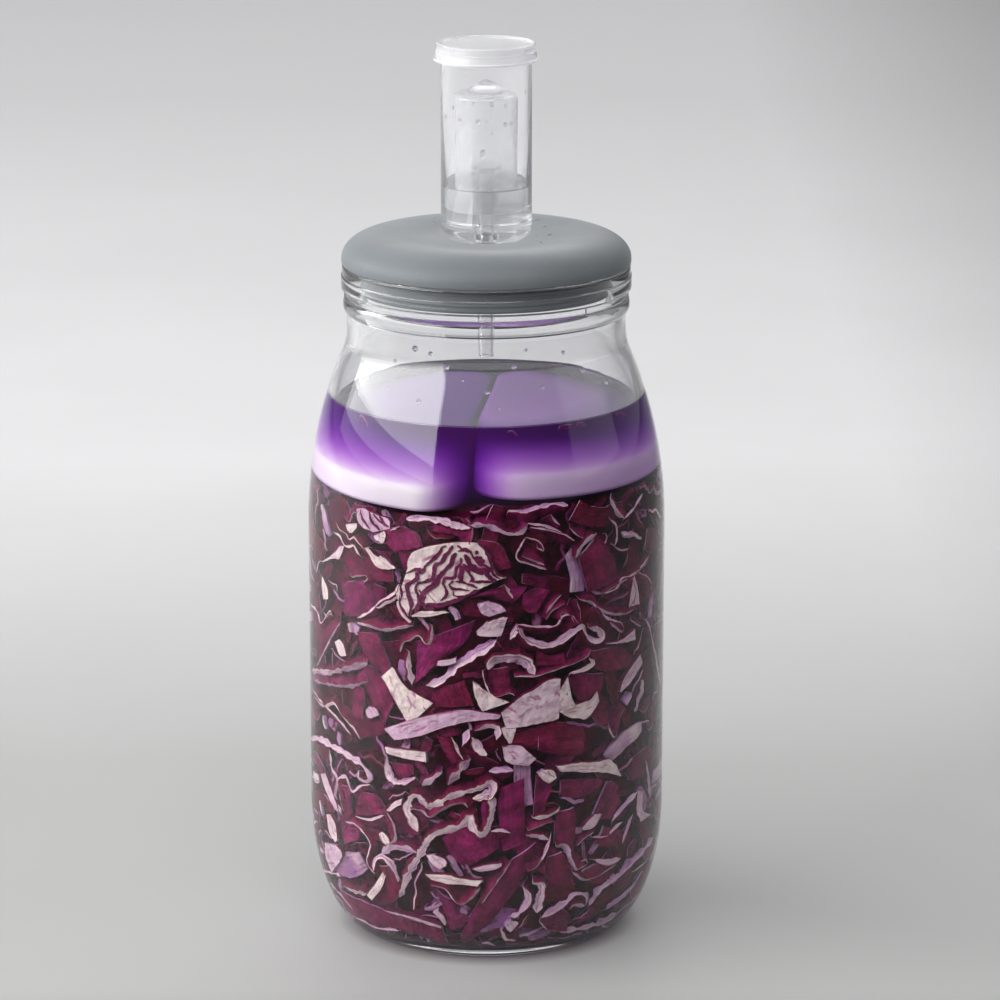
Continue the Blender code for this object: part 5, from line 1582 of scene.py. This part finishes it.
def place_face(wall, shreds, rng, tone, sides, flesh, free=None):
    """A broad face between two lines of the photograph: cut flesh, or a skin."""
    left = wall_points(wall, sides[0])
    right = wall_points(wall, sides[1])
    if len(left) < 2 or len(right) < 2:
        return
    left = smooth_path(left, FINE_STEP_MM)
    right = smooth_path(right, FINE_STEP_MM)
    count = max(6, int(max(len(left), len(right)) * FINE_STEP_MM / STATION_STEP_MM) + 1)
    left = resample(left, count) + ragged(rng, 2 * count, 0.10, 1).reshape(count, 2)
    right = resample(right, count) + ragged(rng, 2 * count, 0.10, 1).reshape(count, 2)
    path = (left + right) / 2
    half = (right - left) / 2
    forward = np.gradient(path, axis=0)
    if np.sum(forward[:, 0] * half[:, 1] - forward[:, 1] * half[:, 0]) < 0.0:
        half = -half
    stretch = wall.stretch(path[:, 1])
    breadth = np.maximum(0.6, 2 * np.hypot(half[:, 0] / stretch, half[:, 1]))
    if flesh:
        thickness, depth_in = breadth, (Shreds.ACROSS[None, :] + 1) / 2 * 3.0
        across = -shreds.through(breadth, OUTLINE_MM)
        start = rng.uniform(0.2, 0.5) if free is None else free
    else:
        thickness = np.full(count, rng.uniform(1.2, 1.8))
        across = np.repeat(Shreds.ACROSS[None, :], count, axis=0)
        depth_in = (shreds.through(thickness, OUTLINE_MM) + 1) / 2 * thickness[:, None]
        bulge = rng.uniform(*SKIN_BULGES_MM)
        tip = rng.uniform(-0.8, 0.8)
        depth_in = depth_in + bulge * across ** 2 + tip * (across + 1) / 2
        depth_in = depth_in + ragged(rng, count, 0.2, 2)[:, None]
        depth_in = depth_in - depth_in.min()
        start = rng.uniform(0.35, 0.9)
    depth_in = depth_in + start
    u = path[:, 0][:, None] + across * half[:, 0][:, None]
    v = path[:, 1][:, None] + across * half[:, 1][:, None]
    spread = np.linspace(-1.0, 1.0, 1 + 2 * int(breadth.max() / DEPTH_CELL_MM))[None, :]
    column, row = wall.cells(path[:, 0][:, None] + spread * half[:, 0][:, None],
                             path[:, 1][:, None] + spread * half[:, 1][:, None])
    np.maximum.at(wall.filled, (column, row), min(PLACED_MARK_MM, float(depth_in.max())))
    along = np.arange(count) * STATION_STEP_MM
    cut = 1.0 if flesh else rng.choice((0.3, 0.55, 0.7, 1.0))
    shreds.add(wall.place(u, v, depth_in), thickness, along, breadth, tone, 0.0, rng.random(),
               cut)


def place_layers(wall, shreds, rng, focus, outline, layers, wobble, tone, gap_share=0.1):
    """A slice of the heart: leaf upon leaf in arches round a focus, all seen on the cut."""
    focus = np.array(focus, float)
    rim = smooth_path(outline, 1.2)
    stretch = float(wall.stretch(focus[1]))
    spokes = (rim - focus) / np.array([stretch, 1.0])
    count = len(rim)
    turn = np.linspace(0.0, 1.0, count)
    phases = rng.uniform(0.0, math.tau, 4)
    reach = np.hypot(spokes[:, 0], spokes[:, 1])
    unit = spokes / reach[:, None]
    edges = []
    for layer in range(layers + 1):
        share = 1.0 - layer / (layers + 0.6)
        depth_in = 1.0 - share
        swing = (np.sin(turn * math.tau * 2.3 + phases[0] + layer * 0.35)
                 + 0.7 * np.sin(turn * math.tau * 5.1 + phases[1] + layer * 0.6)
                 + 0.4 * np.sin(turn * math.tau * 9.0 + phases[2] + layer * 0.9))
        swing = swing * wobble * (0.25 + 1.1 * depth_in) * min(1.0, layer)
        radius = reach * share + swing * share
        edges.append(focus + unit * radius[:, None] * np.array([stretch, 1.0]))
    chance = rng.random()
    for outer, inner in zip(edges, edges[1:]):
        middle = (outer + inner) / 2
        across = (outer - inner) / np.array([stretch, 1.0])
        span = np.hypot(across[:, 0], across[:, 1]) * (1.0 - gap_share)
        keep = max(5, int(np.hypot(*np.diff(middle, axis=0).T).sum() / STATION_STEP_MM))
        path = resample(middle, keep)
        thick = np.maximum(0.5, np.interp(np.linspace(0, 1, keep), turn, span))
        lay(wall, shreds, path, np.full(keep, 5.0), thick, np.full(keep, math.radians(90.0)),
            np.zeros(keep), clamp(tone + rng.uniform(-0.12, 0.12), 0, 1), 0.0, chance,
            deepest=ANY_DEPTH_MM, free=rng.uniform(0.15, 0.4))


def random_path(wall, length, u, v, heading, bend):
    """A gently bending path of the given length, centred at (u, v)."""
    count = max(6, int(length / STATION_STEP_MM) + 1)
    along = np.linspace(-length / 2, length / 2, count)
    turn = heading + bend * along / length
    step = length / (count - 1)
    run = np.cumsum(np.cos(turn)) * step
    rise = np.cumsum(np.sin(turn)) * step
    run -= run.mean()
    rise -= rise.mean()
    path_v = v + rise
    stretch = wall.stretch(np.clip(path_v, 0.0, wall.v[-1]))
    path_u = u + run * stretch
    top = float(wall.highest(u))
    over = max(0.0, path_v.max() - top + 0.5)
    under = max(0.0, 1.0 - path_v.min())
    return np.stack([path_u, path_v - over + under], axis=1), along


def waves(rng, along, size, wavelength):
    """A ruffle: a few sines of unlike lengths."""
    value = np.zeros_like(along)
    for share, factor in ((1.0, 1.0), (0.55, 0.57), (0.3, 0.36)):
        value += share * np.sin(math.tau * along / (wavelength * factor) + rng.uniform(0, 6.3))
    return value * size * 0.6


def drawn(rng, value):
    """A random value from a pair's range, or the single number itself."""
    return rng.uniform(*value) if isinstance(value, tuple) else value


def random_shred(wall, groups, rng, u, v, deepest, cut):
    """One shred of a random kind, laid at (u, v)."""
    low_down = clamp(1.0 - v / SHORTER_BELOW_MM, 0.0, 1.0)
    chance = rng.random()
    kind = next(kind for kind in SHRED_KINDS if chance < kind["up_to"])
    heading = rng.normal(0.0, 0.75) if rng.random() < 0.7 else rng.uniform(0, math.pi)
    sign = 1 if rng.random() < 0.5 else -1
    tone = rng.normal(*SHRED_TONE)
    length, width, thickness, size, wavelength = [
        drawn(rng, kind[name]) for name in ("length", "width", "thickness", "ruffle", "wavelength")]
    roll = sign * math.radians(drawn(rng, kind["roll"]))
    paleness, share_pale = kind["pale"]
    pale = paleness if share_pale == 1 or rng.random() < share_pale else 0.0
    if "tone" in kind:
        tone = rng.normal(*kind["tone"])
    tone = clamp(tone, 0.0, 1.0)
    group = groups[kind["group"]]
    if group.full():
        return False
    length *= 1.0 - SHORTER_SHARE * low_down
    path, along = random_path(wall, length, u, v, heading, rng.normal(0.0, 0.5))
    count = len(path)
    share = np.linspace(-1.0, 1.0, count)
    point_start, point_end = rng.uniform(0.0, 0.7, 2)
    taper = 1.0 - np.where(share < 0, point_start, point_end) * np.abs(share) ** 3
    breadth = width * taper * (1.0 + np.clip(ragged(rng, count, 0.06), -0.15, 0.15))
    thick = thickness * (1.0 + np.clip(ragged(rng, count, 0.08), -0.2, 0.2))
    thick *= 1.0 - 0.35 * np.abs(share) ** 6
    twist = rng.normal(0.0, 0.25) * share
    rolls = roll + twist + ragged(rng, count, 0.04, 3)
    ruffle = waves(rng, along, size, wavelength)
    return lay(wall, group, path, breadth, thick, rolls, ruffle, tone, pale * cut, rng.random(),
               deepest=deepest, cut=rng.uniform(0.45, 1.0) * cut)


def build_core():
    """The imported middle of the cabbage, dark and lumpy, behind the shreds."""
    wall = Wall()
    rng = np.random.default_rng(SHRED_SEED)
    lumps = rng.uniform(-1.0, 1.0, (CORE_SIDES, CORE_ROWS))
    for axis in (0, 1):
        lumps = (lumps + np.roll(lumps, 1, axis) + np.roll(lumps, -1, axis)) / 1.8
    bm = bmesh.new()
    rings = []
    for index, share in enumerate(np.linspace(0.0, 1.0, CORE_ROWS).tolist()):
        ring = []
        for side in range(CORE_SIDES):
            u = side / CORE_SIDES * wall.around
            top = float(wall.highest(u)) - CORE_BELOW_TOP_MM
            v = share * top
            depth = CORE_DEPTH_MM + CORE_LUMP_MM * float(lumps[side, index])
            depth *= 0.2 + 0.8 * min(1.0, share * 5.0)
            ring.append(bm.verts.new(wall.place(np.array(u), np.array(v), depth)))
        rings.append(ring)
    core = add_object("cabbage_core", lofted_mesh("cabbage_core", bm, rings), core_material())
    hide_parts("cabbage")


def place_front(wall, shreds, rng):
    """What shows plainly in the photograph, from the nearest to the farthest from the glass."""
    for tone, left, right in PLATES:
        place_face(wall, shreds, rng, tone, (left, right), True, PLATE_DEPTH_MM)
    for width, tone, points in VEINS:
        place_vein(wall, shreds, rng, width, tone, points)
    for tone, left, right in FLESH_FACES:
        place_face(wall, shreds, rng, tone, (left, right), True)
    for thickness, tone, points in CUT_LINES:
        place_cut_line(wall, shreds, rng, thickness, PLACED_TONE_SHARE * tone, points)
    for tone, left, right in SKIN_FACES:
        place_face(wall, shreds, rng, tone, (left, right), False)


def place_hearts(wall, shreds, rng):
    """A few slices of the heart on the sides that the photograph doesn't show."""
    for _ in range(RANDOM_HEARTS):
        u = rng.uniform(0.25, 0.75) * wall.around
        v = rng.uniform(25.0, 150.0)
        size = rng.uniform(9.0, 15.0)
        start = rng.uniform(0.0, math.tau)
        turns = start + np.linspace(0.0, math.radians(200.0), 7)
        reach = size * rng.uniform(0.8, 1.1, 7)
        places = np.stack([u + reach * np.cos(turns), v + reach * 0.8 * np.sin(turns)], axis=1)
        places[:, 1] = np.clip(places[:, 1], 2.0, wall.highest(u) - 2.0)
        place_layers(wall, shreds, rng, (u, v), places, int(size / 1.9), 1.6, rng.uniform(0.2, 0.8))


def fill_with_shreds(wall, groups, rng):
    """Random shreds all round, each at the emptiest of a few spots."""
    top = float(wall.highest(0.0))
    for deepest, share, cut in SHRED_PASSES:
        wanted = SHREDS_ALL_ROUND * share
        laid = tried = 0
        while laid < wanted and tried < TRIES_EACH * wanted:
            tried += 1
            spots_u = rng.uniform(0.0, wall.around, SPOTS_TRIED)
            spots_v = rng.uniform(2.0, top, SPOTS_TRIED)
            column, row = wall.cells(spots_u, spots_v)
            best = int(np.argmin(wall.filled[column, row]))
            laid += random_shred(wall, groups, rng, spots_u[best], spots_v[best], deepest, cut)


def build_cabbage():
    rng = np.random.default_rng(SHRED_SEED)
    wall = Wall()
    groups = {name: Shreds("cabbage_" + name)
              for name in ("front", "hearts", "leaves", "edges", "ribs", "bits")}
    place_front(wall, groups["front"], rng)
    place_hearts(wall, groups["hearts"], rng)
    fill_with_shreds(wall, groups, rng)
    material = cabbage_material()
    for group in groups.values():
        group.build(material)
    build_floating_bits(material)


def surfaces(name):
    """The named piece's faces, for finding where a line meets them."""
    mesh = bpy.data.objects[name].data
    return BVHTree.FromPolygons([vertex.co.copy() for vertex in mesh.vertices],
                                [list(face.vertices) for face in mesh.polygons])


def met(tree, pixel, layer):
    """Where the camera's ray through a pixel meets a piece for the layer-th time, and how."""
    origin, direction = photo_ray(*pixel)
    place, direction = Vector(origin), Vector(direction)
    for _ in range(layer):
        found = tree.ray_cast(place, direction)
        if found[0] is None:
            return None
        place = found[0] + direction * 1e-5
    return found[0], found[1]


def build_drops(name, tree, layer, spots, material):
    """Small drops sitting on a surface: each a photo pixel with a width and height in mm."""
    bm = bmesh.new()
    for pixel, width, height in spots:
        found = met(tree, pixel, layer)
        if found is None:
            continue
        turn = found[1].to_track_quat("Z", "Y").to_matrix().to_4x4()
        size = Matrix.Diagonal((width / 2 * MM, height / 2 * MM, 0.22 * (width + height) * MM, 1.0))
        bmesh.ops.create_icosphere(bm, subdivisions=3, radius=1.0,
                                   matrix=Matrix.Translation(found[0]) @ turn @ size)
    piece = add_object(name, mesh_of(name, bm), material, sharp=180.0)
    return piece


def build_floating_bits(material):
    """Bits of leaf that float at the glass just under the liquid's surface."""
    bits = Shreds("cabbage_floating")
    rng = np.random.default_rng(SHRED_SEED + 1)
    for angle, length, rise in FLOATING_BITS:
        count = 7
        share = np.linspace(-0.5, 0.5, count)
        radius = inner_radius(BRINE_LEVEL) - (1.6 + rng.uniform(0.0, 0.8, count)) * MM
        turn = math.radians(angle) + share * length * MM / inner_radius(BRINE_LEVEL)
        outwards = np.stack([np.sin(turn), -np.cos(turn), 0.0 * turn], axis=1)
        middle = outwards * radius[:, None]
        hang = rng.uniform(0.0, 4.0) * (share + 0.5) ** 2
        middle[:, 2] = BRINE_LEVEL - (1.3 - rise * share * 2 + hang) * MM
        lean = rng.uniform(0.3, 1.2)
        side = outwards * math.cos(lean) + np.array([0.0, 0.0, math.sin(lean)])
        normal = outwards * -math.sin(lean) + np.array([0.0, 0.0, math.cos(lean)])
        width = np.full(count, rng.uniform(1.2, 2.0)) * (1.0 - 1.6 * share ** 2)
        thickness = np.full(count, 0.7)
        across = Shreds.ACROSS[None, :] * width[:, None] / 2
        through = bits.through(thickness, OUTLINE_MM) * thickness[:, None] / 2
        points = (middle[:, None, :] + across[:, :, None] * side[:, None, :] * MM
                  + through[:, :, None] * normal[:, None, :] * MM)
        bits.add(points, thickness, (share + 0.5) * length, width, rng.uniform(0.0, 1.0), 0.0,
                 rng.random())
    bits.build(material)


def area_light(name, place, aim, width, height, radiance, colour=(1.0, 1.0, 1.0)):
    data = bpy.data.lights.new(name, "AREA")
    data.shape = "RECTANGLE"
    data.size = width
    data.size_y = height
    data.energy = radiance * math.pi * width * height
    data.color = colour
    lamp = bpy.data.objects.new(name, data)
    bpy.context.scene.collection.objects.link(lamp)
    lamp.location = place
    lamp.rotation_euler = (Vector(aim) - Vector(place)).to_track_quat("-Z", "Y").to_euler()


def build_world():
    """Dim even light, brighter from behind the jar than from the camera's side."""
    world = bpy.data.worlds.new("studio")
    bpy.context.scene.world = world
    world.use_nodes = True
    tree = world.node_tree
    background = tree.nodes["Background"]
    background.inputs["Color"].default_value = (0.95, 0.965, 1.0, 1.0)
    towards = tree.nodes.new("ShaderNodeTexCoord")
    parts = tree.nodes.new("ShaderNodeSeparateXYZ")
    tree.links.new(towards.outputs["Generated"], parts.inputs[0])
    share = tree.nodes.new("ShaderNodeMapRange")
    share.interpolation_type = "SMOOTHSTEP"
    tree.links.new(parts.outputs["Y"], share.inputs["Value"])
    for name, value in (("From Min", -0.5), ("From Max", 0.7), ("To Min", WORLD_FRONT),
                        ("To Max", WORLD_BEHIND)):
        share.inputs[name].default_value = value
    tree.links.new(share.outputs["Result"], background.inputs["Strength"])


def build_lamps():
    for name, turn, distance, width, bottom, top, radiance in SOFTBOXES:
        angle = math.radians(turn)
        place = (distance * math.sin(angle), -distance * math.cos(angle), (bottom + top) / 2)
        area_light(name, place, (0.0, 0.0, (bottom + top) / 2 - 0.02), width, top - bottom, radiance)
    place, width, height, radiance = CEILING
    area_light("ceiling", place, (0.0, 0.0, 0.1), width, height, radiance)
    place, width, height, radiance = BACK_LIGHT
    area_light("back", place, (place[0], place[1] - 0.9, 0.0), width, height, radiance)


def build_floor():
    bm = bmesh.new()
    bmesh.ops.create_circle(bm, cap_ends=True, segments=96, radius=FLOOR_RADIUS)
    mesh = mesh_of("floor", bm)
    mesh.materials.append(floor_material())
    floor = bpy.data.objects.new("floor", mesh)
    bpy.context.scene.collection.objects.link(floor)
    floor.location.z = CAD_BOX[0][2] - 0.0002


def build_camera():
    data = bpy.data.cameras.new("camera")
    data.lens = CAMERA_LENS_MM
    data.sensor_width = SENSOR_MM
    data.sensor_fit = "HORIZONTAL"
    data.clip_end = 50.0
    camera = bpy.data.objects.new("camera", data)
    bpy.context.scene.collection.objects.link(camera)
    camera.location = CAMERA_PLACE
    camera.rotation_euler = (math.radians(CAMERA_TILT_DEGREES), 0.0, 0.0)
    bpy.context.scene.camera = camera
    bpy.context.scene.view_settings.view_transform = "Standard"


build_camera()
build_world()
build_lamps()
build_floor()
build_jar()
build_brine()
build_lid()
build_airlock_cup()
build_airlock_water()
build_airlock_float()
build_airlock_cap()
ceramic = ceramic_material()
build_weight("weight_left", -1, LEFT_WEIGHT_PLACE, LEFT_WEIGHT_TILT, 0.0, ceramic)
build_weight("weight_right", 1, RIGHT_WEIGHT_PLACE, 0.0, RIGHT_WEIGHT_ROLL, ceramic)
build_core()
build_cabbage()
drop_material = water_material("drops", (0.88, 0.88, 0.90, 1.0))
build_drops("neck_drops", surfaces("jar_glass"), 2, NECK_DROPS, drop_material)
build_drops("cup_drops", surfaces("airlock_cup"), 2, CUP_DROPS, drop_material)
build_drops("lid_drops", surfaces("lid_silicone"), 1, LID_DROPS, drop_material)
